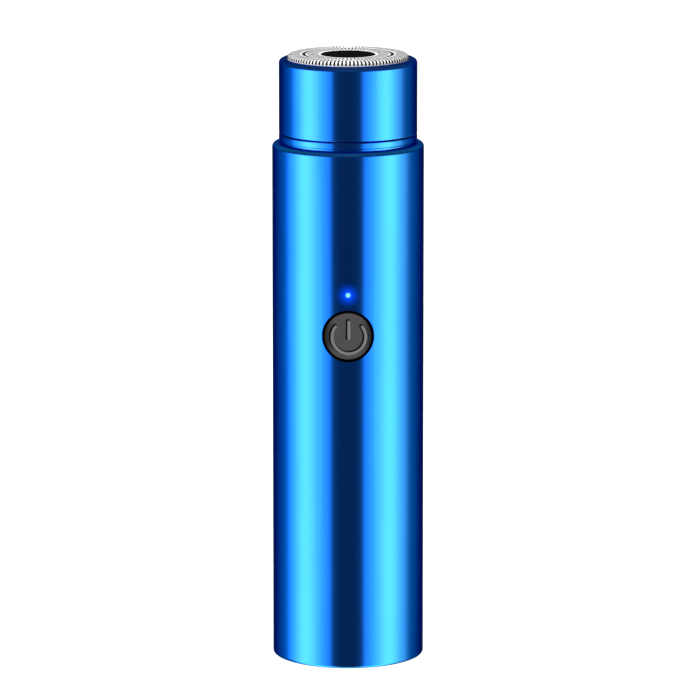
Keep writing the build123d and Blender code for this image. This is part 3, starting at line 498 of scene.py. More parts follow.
@dataclass(frozen=True)
class Worked(Finish):
    """Bare or plated metal with the grain of the way it was made."""

    colour: Rgb
    grain: Grain
    roughness: float = 0.3
    pitch: float = 0.09 * MM
    depth: float = 0.003 * MM
    metallic: float = 1.0
    draw: float = 0.03
    wear: float = 1.5 * MM
    line_tones: Pair = (0.9, 1.06)
    wear_tones: Pair = (0.94, 1.03)
    line_roughness: Pair = (-0.05, 0.07)

    def mixed(self, graph: Graph) -> bpy.types.Material:
        """Lay the grain in its direction, with patches of wear."""
        if self.grain is Grain.TURNED:
            lines = graph.rings(self.pitch)
        elif self.grain is Grain.DRAWN:
            lines = graph.noise(self.pitch, 3.0, graph.stretched(1, 1, self.draw))
        else:
            lines = graph.noise(self.pitch, 4.0)
        wear = graph.noise(self.wear, 3.0, seed=7.0)
        tone = graph.product(graph.spread(lines, *self.line_tones), graph.spread(wear, *self.wear_tones))
        roughness = graph.spread(lines, *self.line_roughness)
        return graph.principled(
            {
                "Base Color": graph.shaded(self.colour, tone),
                "Metallic": self.metallic,
                "Roughness": graph.math("ADD", roughness, self.roughness),
                "Normal": graph.bump(lines, self.depth),
            }
        )


@dataclass(frozen=True)
class Slotted(Finish):
    """Satin steel of the foil, with a dark band in its turned groove and painted shade on its slots'
    walls.
    """

    groove_inner: float
    groove_outer: float
    colour: Rgb = (0.95, 0.95, 0.94)
    metallic: float = 0.1
    # Tone of the dark band in the turned groove, and how far it fades in past the groove's walls.
    groove_band_tone: float = 0.02
    groove_band_fade: float = 0.05 * MM
    slot_shade_tone: float = 0.03
    upright: Pair = (0.2, 0.6)
    outward: Pair = (0.4, 0.8)
    sheen: Pair = (0.0, 0.5)
    sheen_tones: Pair = (0.05, 0.6)
    pitch: float = 0.12 * MM
    wear: float = 0.9 * MM
    line_tones: Pair = (0.9, 1.04)
    wear_tones: Pair = (0.86, 1.04)
    roughness: Pair = (0.24, 0.36)
    depth: float = 0.002 * MM

    def mixed(self, graph: Graph) -> bpy.types.Material:
        """Lay the turned rings, the worn patches, the groove's dark band and the painted shade on the
        slots' walls.
        """
        lines = graph.rings(self.pitch)
        wear = graph.noise(self.wear, 3.0, seed=7.0)
        away = graph.radius()
        # A dark band across the turned groove, fading in at its walls.
        inner = self.groove_inner - self.groove_band_fade
        outer = self.groove_outer + self.groove_band_fade
        start = graph.spread(away, 1.0, self.groove_band_tone, inner, self.groove_inner)
        end = graph.spread(away, self.groove_band_tone, 1.0, self.groove_outer, outer)
        # Painted shade on faces that look neither up nor outward: the slots' walls, inner walls and
        # undersides.
        upright = graph.spread(graph.parts(graph.facing)[2], self.slot_shade_tone, 1.0, *self.upright)
        outward = graph.vector_math("DOT_PRODUCT", graph.facing, graph.stretched(1, 1, 0))
        outward = graph.math("DIVIDE", outward.outputs["Value"], away)
        outside = graph.spread(outward, 0.0, 1.0, *self.outward)
        tone = graph.product(
            graph.spread(lines, *self.line_tones),
            graph.spread(wear, *self.wear_tones),
            graph.math("MAXIMUM", start, end),
            graph.math("MAXIMUM", upright, outside),
        )
        return graph.principled(
            {
                "Base Color": graph.shaded(self.colour, tone),
                "Metallic": self.metallic,
                "Specular IOR Level": graph.spread(tone, *self.sheen, *self.sheen_tones),
                "Roughness": graph.spread(lines, *self.roughness),
                "Normal": graph.bump(lines, self.depth),
            }
        )


@dataclass(frozen=True)
class Wound(Finish):
    """Enamelled wire, wound in close turns."""

    colour: Rgb = (0.72, 0.3, 0.12)
    metallic: float = 0.85
    enamel: float = 0.4
    wire: float = 0.22 * MM
    wire_height: float = 0.05 * MM
    shake: float = 0.4
    shake_size: float = 0.8 * MM
    shade_size: float = 0.3 * MM
    shade_stretch: float = 0.2
    shades: Pair = (0.75, 1.1)
    roughness: Pair = (0.45, 0.25)

    def mixed(self, graph: Graph) -> bpy.types.Material:
        """Lay the turns side by side, each a shade off its neighbours."""
        shaken = graph.product(graph.noise(self.shake_size, 1.0), self.shake * self.wire)
        height = graph.math("ADD", graph.radius(), shaken)
        turn = graph.math("PINGPONG", height, self.wire / 2)
        ridge = graph.spread(turn, 0.0, 1.0, 0.0, self.wire / 2)
        shade = graph.noise(self.shade_size, 1.0, graph.stretched(1, 1, self.shade_stretch))
        return graph.principled(
            {
                "Base Color": graph.shaded(self.colour, graph.spread(shade, *self.shades)),
                "Metallic": self.metallic,
                "Roughness": graph.spread(ridge, *self.roughness, 0.0, 1.0),
                "Coat Weight": self.enamel,
                "Normal": graph.bump(ridge, self.wire_height),
            }
        )


@dataclass(frozen=True)
class PrintedBoard(Finish):
    """Solder mask over copper tracks."""

    mask: Rgb = (0.012, 0.16, 0.055)
    track: Rgb = (0.03, 0.3, 0.12)
    cell: float = 1.9 * MM
    cell_shake: float = 0.6
    track_pitch: float = 0.16
    track_edge: Pair = (0.055, 0.075)
    track_height: float = 0.02 * MM
    cloud: float = 1.2 * MM
    tones: Pair = (0.9, 1.08)
    roughness: Pair = (0.32, 0.24)

    def mixed(self, graph: Graph) -> bpy.types.Material:
        """Lay square-cornered tracks under the mask, and the mask's slight unevenness."""
        edges = graph.add(
            "ShaderNodeTexVoronoi",
            {"feature": "F2", "distance": "CHEBYCHEV"},
            {"Vector": graph.stretched(1, 0, 1), "Scale": 1 / self.cell, "Randomness": self.cell_shake},
        ).outputs[0]
        line = graph.spread(graph.math("PINGPONG", edges, self.track_pitch), 0.0, 1.0, *self.track_edge)
        cloud = graph.noise(self.cloud, 2.0)
        colour = graph.mix(line, self.mask, self.track)
        return graph.principled(
            {
                "Base Color": graph.shaded(colour, graph.spread(cloud, *self.tones)),
                "Roughness": graph.spread(line, *self.roughness, 0.0, 1.0),
                "Normal": graph.bump(line, self.track_height),
            }
        )


@dataclass(frozen=True)
class Sleeved(Finish):
    """Thin plastic sleeve shrunk round the cell."""

    colour: Rgb = (0.045, 0.3, 0.2)
    low_z: float = 0.0
    high_z: float = 1.0
    fold: float = 1.5 * MM
    mark_size: float = 0.7 * MM
    mark_stretch: float = 0.15
    mark_share: float = 0.2
    crease_size: float = 0.35 * MM
    crease_stretch: float = 0.5
    crease_seed: float = 6.0
    relief: float = 0.03 * MM
    gloss: float = 0.25
    tones: Pair = (0.93, 1.06)
    roughness: Pair = (0.26, 0.34)

    def mixed(self, graph: Graph) -> bpy.types.Material:
        """Lay faint shrink marks along it, and creases where it turns over the ends."""
        marks = graph.noise(self.mark_size, 2.0, graph.stretched(1, 1, self.mark_stretch))
        along = graph.stretched(1, 1, self.crease_stretch)
        creases = graph.noise(self.crease_size, 2.0, along, self.crease_seed)
        height = graph.parts()[2]
        low = graph.spread(height, 1.0, 0.0, self.low_z, self.low_z + self.fold)
        high = graph.spread(height, 0.0, 1.0, self.high_z - self.fold, self.high_z)
        creases = graph.product(creases, graph.math("MAXIMUM", low, high))
        relief = graph.math("ADD", creases, graph.product(marks, self.mark_share))
        return graph.principled(
            {
                "Base Color": graph.shaded(self.colour, graph.spread(marks, *self.tones)),
                "Roughness": graph.spread(marks, *self.roughness),
                "Coat Weight": self.gloss,
                "Normal": graph.bump(relief, self.relief),
            }
        )


@dataclass(frozen=True)
class Glowing(Finish):
    """Clear light pipe, lit from behind."""

    centre_z: float
    reach: float
    core: Rgb = (0.3, 1.0, 1.0)
    rim: Rgb = (0.0, 0.12, 1.0)
    plastic: Rgb = (0.02, 0.05, 0.12)
    plastic_rim: Rgb = (0.005, 0.02, 0.1)
    rim_shares: Pair = (0.3, 0.95)
    strengths: Pair = (1.0, 0.85)
    grain: float = 0.1 * MM
    depth: float = 0.002 * MM
    roughness: Pair = (0.15, 0.25)

    def mixed(self, graph: Graph) -> bpy.types.Material:
        """Lay the bright core, its bluer rim and the grain of the plastic."""
        away = graph.from_point(0.0, self.centre_z)
        grain = graph.noise(self.grain, 2.0)
        rim = graph.spread(away, 0.0, 1.0, *shares_of(self.reach, self.rim_shares))
        return graph.principled(
            {
                "Base Color": graph.mix(rim, self.plastic, self.plastic_rim),
                "Roughness": graph.spread(grain, *self.roughness),
                "Emission Color": graph.mix(rim, self.core, self.rim),
                "Emission Strength": graph.spread(rim, *self.strengths, 0.0, 1.0),
                "Normal": graph.bump(grain, self.depth),
            }
        )


class Finishes:
    """The finishes that several sub-assemblies share."""

    BLACK = Moulded((0.022, 0.022, 0.024), 0.5)
    GREY = Moulded((0.26, 0.27, 0.29), 0.48)
    WHITE = Moulded((0.72, 0.72, 0.7), 0.45)
    RUBBER = Moulded((0.014, 0.014, 0.015), 0.68, 0.2 * MM)
    CHIP = Moulded((0.016, 0.016, 0.017), 0.42, 0.08 * MM)
    CERAMIC = Moulded((0.5, 0.36, 0.22), 0.55, 0.06 * MM)
    RED_WIRE = Moulded((0.5, 0.015, 0.012), 0.38, 0.3 * MM, 0.003 * MM)
    BLACK_WIRE = Moulded((0.012, 0.012, 0.013), 0.38, 0.3 * MM, 0.003 * MM)
    SCREW = Worked((0.62, 0.62, 0.64), Grain.PLATED, 0.28)
    CAN = Worked((0.66, 0.66, 0.67), Grain.DRAWN, 0.3)
    SOCKET = Worked((0.7, 0.7, 0.71), Grain.PLATED, 0.24)
    SHAFT = Worked((0.68, 0.68, 0.7), Grain.TURNED, 0.18, 0.05 * MM, 0.001 * MM)
    CORE = Worked((0.3, 0.3, 0.32), Grain.DRAWN, 0.45, 0.15 * MM, 0.01 * MM)
    SPRING = Worked((0.58, 0.58, 0.6), Grain.PLATED, 0.25, 0.05 * MM, 0.002 * MM)
    NICKEL = Worked((0.72, 0.7, 0.64), Grain.PLATED, 0.28, 0.2 * MM)
    MAGNET = Worked((0.07, 0.07, 0.075), Grain.SINTERED, 0.6, 0.12 * MM, 0.01 * MM, 0.3)
    FERRITE = Worked((0.09, 0.09, 0.1), Grain.SINTERED, 0.5, 0.1 * MM, 0.008 * MM, 0.2)
    BRONZE = Worked((0.55, 0.34, 0.13), Grain.SINTERED, 0.38, 0.1 * MM, 0.008 * MM)
    COPPER = Worked((0.8, 0.38, 0.2), Grain.TURNED, 0.22)
    BLADE = Worked((0.16, 0.16, 0.17), Grain.TURNED, 0.3, 0.08 * MM)


# ---------------------------------------------------------------- sub-assemblies
@dataclass(frozen=True)
class Span:
    """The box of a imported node."""

    low: Vector
    high: Vector

    @classmethod
    def of(cls, node: str) -> "Span":
        """The box of the node with this name."""
        return cls(*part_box(node))

    @property
    def middle(self) -> Vector:
        """The box's centre."""
        return (self.low + self.high) / 2


class Bench:
    """The modelling steps that the new pieces share, done in the modeller's own operators.

    A face looks along an axis if LOOKING or more of its normal does. Points within WELD of each
    other are one, and edges flatter than SMOOTHED are smooth.
    """

    LOOKING: ClassVar[float] = 0.9
    WELD: ClassVar[float] = 0.001 * MM
    SMOOTHED: ClassVar[float] = math.radians(35)

    @staticmethod
    def deselect() -> None:
        """Leave nothing selected."""
        if bpy.context.object is not None and bpy.context.object.mode != "OBJECT":
            bpy.ops.object.mode_set(mode="OBJECT")
        bpy.ops.object.select_all(action="DESELECT")

    @staticmethod
    def edit(piece: bpy.types.Object) -> bmesh.types.BMesh:
        """Open a piece in edit mode with nothing selected.

        Args:
            piece: The piece to open.

        Returns:
            Its mesh, to select in.
        """
        Bench.deselect()
        piece.select_set(True)
        bpy.context.view_layer.objects.active = piece
        bpy.ops.object.mode_set(mode="EDIT")
        bpy.ops.mesh.select_mode(type="FACE")
        bpy.ops.mesh.select_all(action="DESELECT")
        return bmesh.from_edit_mesh(piece.data)

    @staticmethod
    def pick_faces(piece: bpy.types.Object, rule: Callable[[bmesh.types.BMFace], bool]) -> None:
        """Select the faces that a rule names.

        Args:
            piece: The piece, which is opened in edit mode.
            rule: True for a face that is wanted.
        """
        mesh = Bench.edit(piece)
        for face in [face for face in mesh.faces if rule(face)]:
            face.select_set(True)
        bmesh.update_edit_mesh(piece.data)

    @staticmethod
    def lathe(name: str, profile: Sequence[Pair], sides: int) -> bpy.types.Object:
        """Draw a ring up and inwards through a profile, one extrusion at a time.

        Args:
            name: The piece's name.
            profile: Radius and height of each ring, from the first to the last.
            sides: Number of sides.

        Returns:
            The open shell, its faces outwards.
        """
        Bench.deselect()
        radius, height = profile[0]
        bpy.ops.mesh.primitive_circle_add(
            vertices=sides, radius=radius, fill_type="NOTHING", location=(0, 0, height)
        )
        piece = bpy.context.object
        piece.name = name
        bpy.ops.object.transform_apply(location=True, rotation=True, scale=True)
        bpy.ops.object.mode_set(mode="EDIT")
        bpy.ops.mesh.select_mode(type="EDGE")
        bpy.ops.mesh.select_all(action="SELECT")
        for next_radius, next_height in profile[1:]:
            lift = next_height - height
            bpy.ops.mesh.extrude_edges_move(TRANSFORM_OT_translate={"value": (0, 0, lift)})
            scale = next_radius / radius
            bpy.ops.transform.resize(value=(scale, scale, 1.0), center_override=(0, 0, next_height))
            radius, height = next_radius, next_height
        bpy.ops.mesh.select_all(action="SELECT")
        bpy.ops.mesh.normals_make_consistent(inside=False)
        bpy.ops.object.mode_set(mode="OBJECT")
        return piece

    @staticmethod
    def apply(piece: bpy.types.Object, kind: str, settings: dict[str, Any]) -> None:
        """Put one modifier on a piece and apply it.

        Args:
            piece: The piece.
            kind: The modifier's type.
            settings: Its options.
        """
        Bench.deselect()
        piece.select_set(True)
        bpy.context.view_layer.objects.active = piece
        modifier = piece.modifiers.new(kind.lower(), kind)
        for name, value in settings.items():
            setattr(modifier, name, value)
        bpy.ops.object.modifier_apply(modifier=modifier.name)

    @staticmethod
    def joined(name: str, parts: Sequence[bpy.types.Object]) -> bpy.types.Object:
        """Join some parts into one object.

        Args:
            name: The object's name.
            parts: The parts, the first of which is kept.

        Returns:
            The joined object.
        """
        Bench.deselect()
        for part in parts:
            part.select_set(True)
        bpy.context.view_layer.objects.active = parts[0]
        bpy.ops.object.join()
        parts[0].name = name
        return parts[0]

    @staticmethod
    def cut(piece: bpy.types.Object, cutter: bpy.types.Object) -> None:
        """Cut a piece with another solid, which is then thrown away."""
        settings = {"operation": "DIFFERENCE", "object": cutter, "solver": "EXACT", "use_self": True}
        Bench.apply(piece, "BOOLEAN", settings)
        bpy.data.objects.remove(cutter)

    @staticmethod
    def finished(
        piece: bpy.types.Object, body: Body, nodes: Sequence[str], slot: str, finish: Finish
    ) -> bpy.types.Object:
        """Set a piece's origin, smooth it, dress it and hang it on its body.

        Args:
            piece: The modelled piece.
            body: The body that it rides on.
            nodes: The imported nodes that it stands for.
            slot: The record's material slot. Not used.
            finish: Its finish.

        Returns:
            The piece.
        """
        Bench.deselect()
        piece.select_set(True)
        bpy.context.view_layer.objects.active = piece
        bpy.ops.object.transform_apply(location=True, rotation=True, scale=True)
        bpy.ops.object.shade_smooth_by_angle(angle=Bench.SMOOTHED)
        piece.data.materials.clear()
        piece.data.materials.append(finish.material())
        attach(piece, body.value)
        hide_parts(*nodes)
        return piece


class SubAssembly(ABC):
    """Pieces that are built and dressed together."""

    def build(self) -> list[bpy.types.Object]:
        """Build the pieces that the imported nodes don't already show.

        Returns:
            The new pieces.
        """
        return []

    @abstractmethod
    def finishes(self) -> dict[str, Finish]:
        """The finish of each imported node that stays."""

    def dress(self) -> None:
        """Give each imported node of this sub-assembly its finish."""
        for node, finish in self.finishes().items():
            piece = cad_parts[node]
            piece.data.materials.clear()
            piece.data.materials.append(finish.material())
            log.info("%s: %s", node, type(finish).__name__)


@dataclass
class PowerButton:
    """The round button: a rounded key with its power mark pressed into the face as a soft groove."""

    box: Span = field(default_factory=lambda: Span.of("button_cap"))
    radius: float = 4.9 * MM
    edge: float = 0.5 * MM
    flange_radius: float = 5.9 * MM
    flange_thickness: float = 0.8 * MM
    stem_radius: float = 1.5 * MM
    stem_length: float = 1.2 * MM
    ring_radius: float = 3.31 * MM
    stroke: float = 0.94 * MM
    mark_depth: float = 0.6 * MM
    fill_stroke: float = 0.58 * MM
    fill_depth: float = 0.22 * MM
    fill_shift: float = 0.18 * MM
    opening: float = 104.0
    bar_top: float = 3.03 * MM
    bar_bottom: float = -0.33 * MM
    bevel: float = 0.04 * MM
    bevel_angle: float = 50.0
    sides: int = 128
    edge_sides: int = 6
    ring_sides: int = 180
    end_sides: int = 48

    @property
    def face_y(self) -> float:
        """The face's place."""
        return self.box.low.y

    @property
    def centre_z(self) -> float:
        """The button's height above the foot."""
        return self.box.middle.z

    def build(self) -> bpy.types.Object:
        """Turn the key, press the mark into it and dress it.

        Returns:
            The button.
        """
        key = self.turned_key()
        groove = self.mark_tool(self.stroke, -self.mark_depth, self.mark_depth, 0.0)
        fill = self.mark_tool(self.fill_stroke, self.fill_depth, self.mark_depth * 2, self.fill_shift)
        Bench.cut(groove, fill)
        Bench.cut(key, groove)
        limit = math.radians(self.bevel_angle)
        bevel = {"width": self.bevel, "segments": 2, "limit_method": "ANGLE", "angle_limit": limit}
        Bench.apply(key, "BEVEL", bevel)
        finish = MarkedButton(self.centre_z, self.face_y, self.fill_depth, self.radius)
        return Bench.finished(key, Body.BUTTON, ["button_cap"], "button_plastic", finish)

    def turned_key(self) -> bpy.types.Object:
        """A short cylinder with a rounded front edge, a flange behind it and a stem.

        Returns:
            The key.
        """
        back = self.box.high.y - self.stem_length - self.flange_thickness
        Bench.deselect()
        bpy.ops.mesh.primitive_cylinder_add(
            vertices=self.sides,
            radius=self.radius,
            depth=back - self.face_y,
            location=(0, (back + self.face_y) / 2, self.centre_z),
            rotation=(math.pi / 2, 0, 0),
        )
        key = bpy.context.object
        key.name = "power_button"
        bpy.ops.object.transform_apply(location=True, rotation=True, scale=True)
        Bench.pick_faces(key, lambda face: face.normal.y < -Bench.LOOKING)
        bpy.ops.mesh.bevel(offset=self.edge, segments=self.edge_sides, profile=0.5, affect="EDGES")
        centre = (0, back, self.centre_z)
        Bench.pick_faces(key, lambda face: face.normal.y > Bench.LOOKING)
        widths = (self.flange_radius / self.radius, self.stem_radius / self.flange_radius)
        for width, length in zip(widths, (self.flange_thickness, self.stem_length)):
            bpy.ops.mesh.extrude_region_move(TRANSFORM_OT_translate={"value": (0, 0, 0)})
            bpy.ops.transform.resize(value=(width, 1.0, width), center_override=centre)
            bpy.ops.mesh.extrude_region_move(TRANSFORM_OT_translate={"value": (0, length, 0)})
            centre = (0, centre[1] + length, self.centre_z)
        bpy.ops.object.mode_set(mode="OBJECT")
        return key

    def mark_tool(self, stroke: float, top: float, bottom: float, shift: float) -> bpy.types.Object:
        """A square-edged solid of the power mark: an open ring and a bar, with round ends.

        Args:
            stroke: Width of the ring and the bar.
            top: Depth of its front below the button's face.
            bottom: Depth of its back.
            shift: How far it is moved to the right and down.

        Returns:
            The solid.
        """
        half_width = stroke / 2
        corners = ((half_width, -bottom), (half_width, -top), (-half_width, -top), (-half_width, -bottom))
        profile = [(self.ring_radius + across, along) for across, along in (*corners, corners[0])]
        ring = Bench.lathe("mark_ring", profile, self.ring_sides)
        half = math.radians(self.opening / 2)
        Bench.pick_faces(ring, lambda face: abs(self.turn_of(face.calc_center_median())) < half)
        bpy.ops.mesh.delete(type="FACE")
        bpy.ops.mesh.select_all(action="SELECT")
        bpy.ops.mesh.remove_doubles(threshold=Bench.WELD)
        bpy.ops.mesh.select_mode(type="EDGE")
        bpy.ops.mesh.select_all(action="DESELECT")
        bpy.ops.mesh.select_non_manifold()
        bpy.ops.mesh.fill_holes(sides=0)
        bpy.ops.mesh.select_all(action="SELECT")
        bpy.ops.mesh.normals_make_consistent(inside=False)
        bpy.ops.object.mode_set(mode="OBJECT")
        across, up = self.ring_radius * math.sin(half), self.ring_radius * math.cos(half)
        depth, middle = bottom - top, -(top + bottom) / 2
        parts = [ring]
        for x, y in ((-across, up), (across, up), (0.0, self.bar_top), (0.0, self.bar_bottom)):
            bpy.ops.mesh.primitive_cylinder_add(
                vertices=self.end_sides, radius=half_width, depth=depth, location=(x, y, middle)
            )
            parts.append(bpy.context.object)
        bpy.ops.mesh.primitive_cube_add(
            size=1.0,
            location=(0.0, (self.bar_top + self.bar_bottom) / 2, middle),
            scale=(stroke, self.bar_top - self.bar_bottom, depth),
        )
        parts.append(bpy.context.object)
        tool = Bench.joined("mark_tool", parts)
        tool.rotation_euler = (math.pi / 2, 0.0, 0.0)
        tool.location = (shift, self.face_y, self.centre_z - shift)
        bpy.ops.object.transform_apply(location=True, rotation=True, scale=True)
        return tool

    @staticmethod
    def turn_of(point: Vector) -> float:
        """Angle of a point about the tool's axis from straight up, in radians."""
        return math.atan2(point.x, point.y)


@dataclass
class Handle(SubAssembly):
    """The tube, its foot, the button and the light."""

    light: Span = field(default_factory=lambda: Span.of("led_lens"))
    light_radius: float = 0.65 * MM

    def build(self) -> list[bpy.types.Object]:
        """Build the button.

        Returns:
            The new pieces.
        """
        return [PowerButton().build()]

    def finishes(self) -> dict[str, Finish]:
        """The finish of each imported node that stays."""
        return {
            # The tube's rims get a painted greener reflection tint, and the metal a painted glow round
            # the light.
            "body_tube": Anodised(
                light_z=self.light.middle.z, rim_shade_colour=(0.03, 0.4, 1.0), rim_shade_tone=1.0, rim_facing=(0.2, 0.6)
            ),
            "base_cap": Finishes.BLACK,
            "base_screws": Finishes.SCREW,
            "button_guide": Finishes.WHITE,
            "led_lens": Glowing(self.light.middle.z, self.light_radius),
        }


@dataclass
class Neck(SubAssembly):
    """The ring on the handle that the head is pushed onto."""

    def finishes(self) -> dict[str, Finish]:
        """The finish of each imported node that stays."""
        return {
            # The neck ring's flat top and bottom faces get painted shade.
            "neck_ring": Anodised(),
            "neck_o_ring": Finishes.RUBBER,
            "shaft_seal": Finishes.RUBBER,
        }


@dataclass
class ShavingFoil:
    """The floating foil: two crowned tracks with a groove between them, slotted right through."""

    box: Span = field(default_factory=lambda: Span.of("foil"))
    radius: float = 11.9 * MM
    flange: float = 0.4 * MM
    flange_top: float = 1.9 * MM
    sheet: float = 0.12 * MM
    seat_depth: float = 0.3 * MM
    edge_round: float = 0.5 * MM
    crown: float = 0.06 * MM
    outer_start: float = 9.45 * MM
    groove_outer: float = 9.05 * MM
    groove_inner: float = 8.45 * MM
    groove_depth: float = 0.14 * MM
    inner_start: float = 5.95 * MM
    inner_end: float = 8.15 * MM
    seat_radius: float = 5.4 * MM
    stud_radius: float = 1.5 * MM
    slot_drop: float = 0.8 * MM
    groove_lean: float = 0.06 * MM
    groove_lip: float = 0.05 * MM
    seat_lean: float = 0.15 * MM
    seat_lip: float = 0.08 * MM
    sides: int = 384
    edge_steps: int = 4
    outer_step: int = 4
    outer_cut: tuple[int, ...] = (1, 2)
    inner_step: int = 6
    inner_cut: tuple[int, ...] = (3, 4, 5)

    def build(self) -> bpy.types.Object:
        """Draw the shell, cut its slots, give it its thickness and dress it.

        Returns:
            The foil.
        """
        foil = Bench.lathe("shaving_foil", self.profile(), self.sides)
        Bench.pick_faces(foil, self.in_slot)
        bpy.ops.mesh.delete(type="FACE")
        bpy.ops.object.mode_set(mode="OBJECT")
        Bench.apply(foil, "SOLIDIFY", {"thickness": self.sheet, "offset": -1.0, "use_rim": True})
        finish = Slotted(self.groove_inner, self.groove_outer)
        return Bench.finished(foil, Body.FOIL, ["foil"], "foil_steel", finish)

    def profile(self) -> list[Pair]:
        """The shell's outside from the flange up the wall, over the edge and in to the centre.

        Returns:
            Radius and height of each ring.
        """
        top = self.box.high.z
        start = self.radius - self.edge_round
        rings = [
            (self.radius + self.flange, self.box.low.z),
            (self.radius + self.flange, top - self.flange_top),
            (self.radius, top - self.flange_top),
            (self.radius, top - self.slot_drop),
            (self.radius, top - self.edge_round),
        ]
        for step in range(1, self.edge_steps + 1):
            angle = step * math.pi / 2 / self.edge_steps
            across, up = self.edge_round * math.cos(angle), self.edge_round * (1 - math.sin(angle))
            rings.append((start + across, top - up))
        rings += self.crowned(start, self.outer_start, top)
        rings += self.groove(top)
        rings += self.crowned(self.inner_end, self.inner_start, top)
        return rings + [
            (self.seat_radius + self.seat_lean, top),
            (self.seat_radius, top - self.seat_lip),
            (self.seat_radius, top - self.seat_depth),
            (self.stud_radius, top - self.seat_depth),
        ]

    def groove(self, top: float) -> list[Pair]:
        """The groove between the tracks, with leaning walls, as rings from outside in."""
        floor = top - self.groove_depth
        lip = top - self.groove_lip
        return [
            (self.groove_outer + self.groove_lean, top),
            (self.groove_outer, lip),
            (self.groove_outer - self.groove_lean, floor),
            ((self.groove_outer + self.groove_inner) / 2, floor),
            (self.groove_inner + self.groove_lean, floor),
            (self.groove_inner, lip),
            (self.groove_inner - self.groove_lean, top),
            (self.inner_end, top),
        ]

    def crowned(self, outer: float, inner: float, top: float) -> list[Pair]:
        """Four rings in over a gently crowned track."""
        steps = ((0.25, 0.75), (0.5, 1.0), (0.75, 0.75), (1.0, 0.0))
        return [(outer + (inner - outer) * along, top + self.crown * lift) for along, lift in steps]

    def in_slot(self, face: bmesh.types.BMFace) -> bool:
        """Whether a face lies where a slot goes through.

        Args:
            face: A face of the shell.

        Returns:
            True if it is cut away.
        """
        centre = face.calc_center_median()
        radius = math.hypot(centre.x, centre.y)
        place = int((math.atan2(centre.y, centre.x) % (2 * math.pi)) / (2 * math.pi) * self.sides)
        if self.inner_start < radius < self.inner_end:
            return place % self.inner_step in self.inner_cut
        low = self.box.high.z - self.slot_drop
        return radius > self.outer_start and centre.z > low and place % self.outer_step in self.outer_cut


@dataclass
class Head(SubAssembly):
    """The pull-off head with the foil and its centre."""

    def build(self) -> list[bpy.types.Object]:
        """Build the foil.

        Returns:
            The new pieces.
        """
        return [ShavingFoil().build()]

    def finishes(self) -> dict[str, Finish]:
        """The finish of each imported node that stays."""
        return {
            # The head's rims get painted shade, darker and less blue than the dye.
            "head_cap": Anodised(rim_shade_colour=(0.05, 0.22, 0.78), rim_shade_tone=0.75, rim_facing=(0.3, 0.7)),
            "blade_retainer": Finishes.BLACK,
            "foil_cap": Printed((0.004, 0.004, 0.004)),
        }


@dataclass
class Cutter(SubAssembly):
    """The cutter and what drives it."""

    def finishes(self) -> dict[str, Finish]:
        """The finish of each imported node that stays."""
        return {
            "cutter_wheel": Finishes.BLADE,
            "cutter_hub": Finishes.BLACK,
            "drive_spindle": Finishes.WHITE,
            "spindle_spring": Finishes.SPRING,
            "drive_sleeve": Finishes.WHITE,
        }


@dataclass
class Motor(SubAssembly):
    """The motor and its holder."""

    def finishes(self) -> dict[str, Finish]:
        """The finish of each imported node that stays."""
        return {
            "motor_holder": Finishes.GREY,
            "holder_screws": Finishes.SCREW,
            "motor_screws": Finishes.SCREW,
            "motor_can": Finishes.CAN,
            "motor_end_cap": Finishes.BLACK,
            "motor_terminals": Finishes.COPPER,
            "motor_brushes": Finishes.COPPER,
            "motor_magnets": Finishes.MAGNET,
            "motor_bushes": Finishes.BRONZE,
            "motor_shaft": Finishes.SHAFT,
            "armature_core": Finishes.CORE,
            "armature_windings": Wound(),
            "commutator": Finishes.COPPER,
        }


@dataclass
class Power(SubAssembly):
    """The inner frame, the cell, the circuit board and the wires."""

    cell: Span = field(default_factory=lambda: Span.of("battery_cell"))
    cell_stud: float = 1 * MM

    def finishes(self) -> dict[str, Finish]:
        """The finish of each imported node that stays."""
        return {
            "inner_frame": Finishes.GREY,
            "board_screws": Finishes.SCREW,
            "battery_cell": Sleeved(low_z=self.cell.low.z, high_z=self.cell.high.z - self.cell_stud),
            "cell_negative_tab": Finishes.NICKEL,
            "cell_positive_tab": Finishes.NICKEL,
            "circuit_board": PrintedBoard(),
            "usb_shell": Finishes.SOCKET,
            "usb_tongue": Finishes.CHIP,
            "tactile_switch": Finishes.BLACK,
            "switch_plunger": Finishes.BLACK,
            "led_chip": Finishes.WHITE,
            "charge_chip": Finishes.CHIP,
            "inductor": Finishes.FERRITE,
            "capacitors": Finishes.CERAMIC,
            "cell_positive_wire": Finishes.RED_WIRE,
            "motor_positive_wire": Finishes.RED_WIRE,
            "cell_negative_wire": Finishes.BLACK_WIRE,
            "motor_negative_wire": Finishes.BLACK_WIRE,
        }


# ---------------------------------------------------------------- studio
@dataclass
class Lamp:
    """One square soft lamp that looks at the object."""

    turn: float
    rise: float
    distance: float
    width: float
    watts: float

    def build(self, target: Vector) -> bpy.types.Object:
        """Hang the lamp.

        Args:
            target: The point that it looks at.

        Returns:
            The lamp.
        """
        turn, rise = math.radians(self.turn), math.radians(self.rise)
        aim = Vector((math.sin(turn) * math.cos(rise), -math.cos(turn) * math.cos(rise), math.sin(rise)))
        bpy.ops.object.light_add(type="AREA", location=target + aim * self.distance)
        lamp = bpy.context.object
        lamp.rotation_euler = aim.to_track_quat("Z", "Y").to_euler()
        lamp.data.size = self.width
        lamp.data.energy = self.watts
        lamp.visible_glossy = False
        return lamp


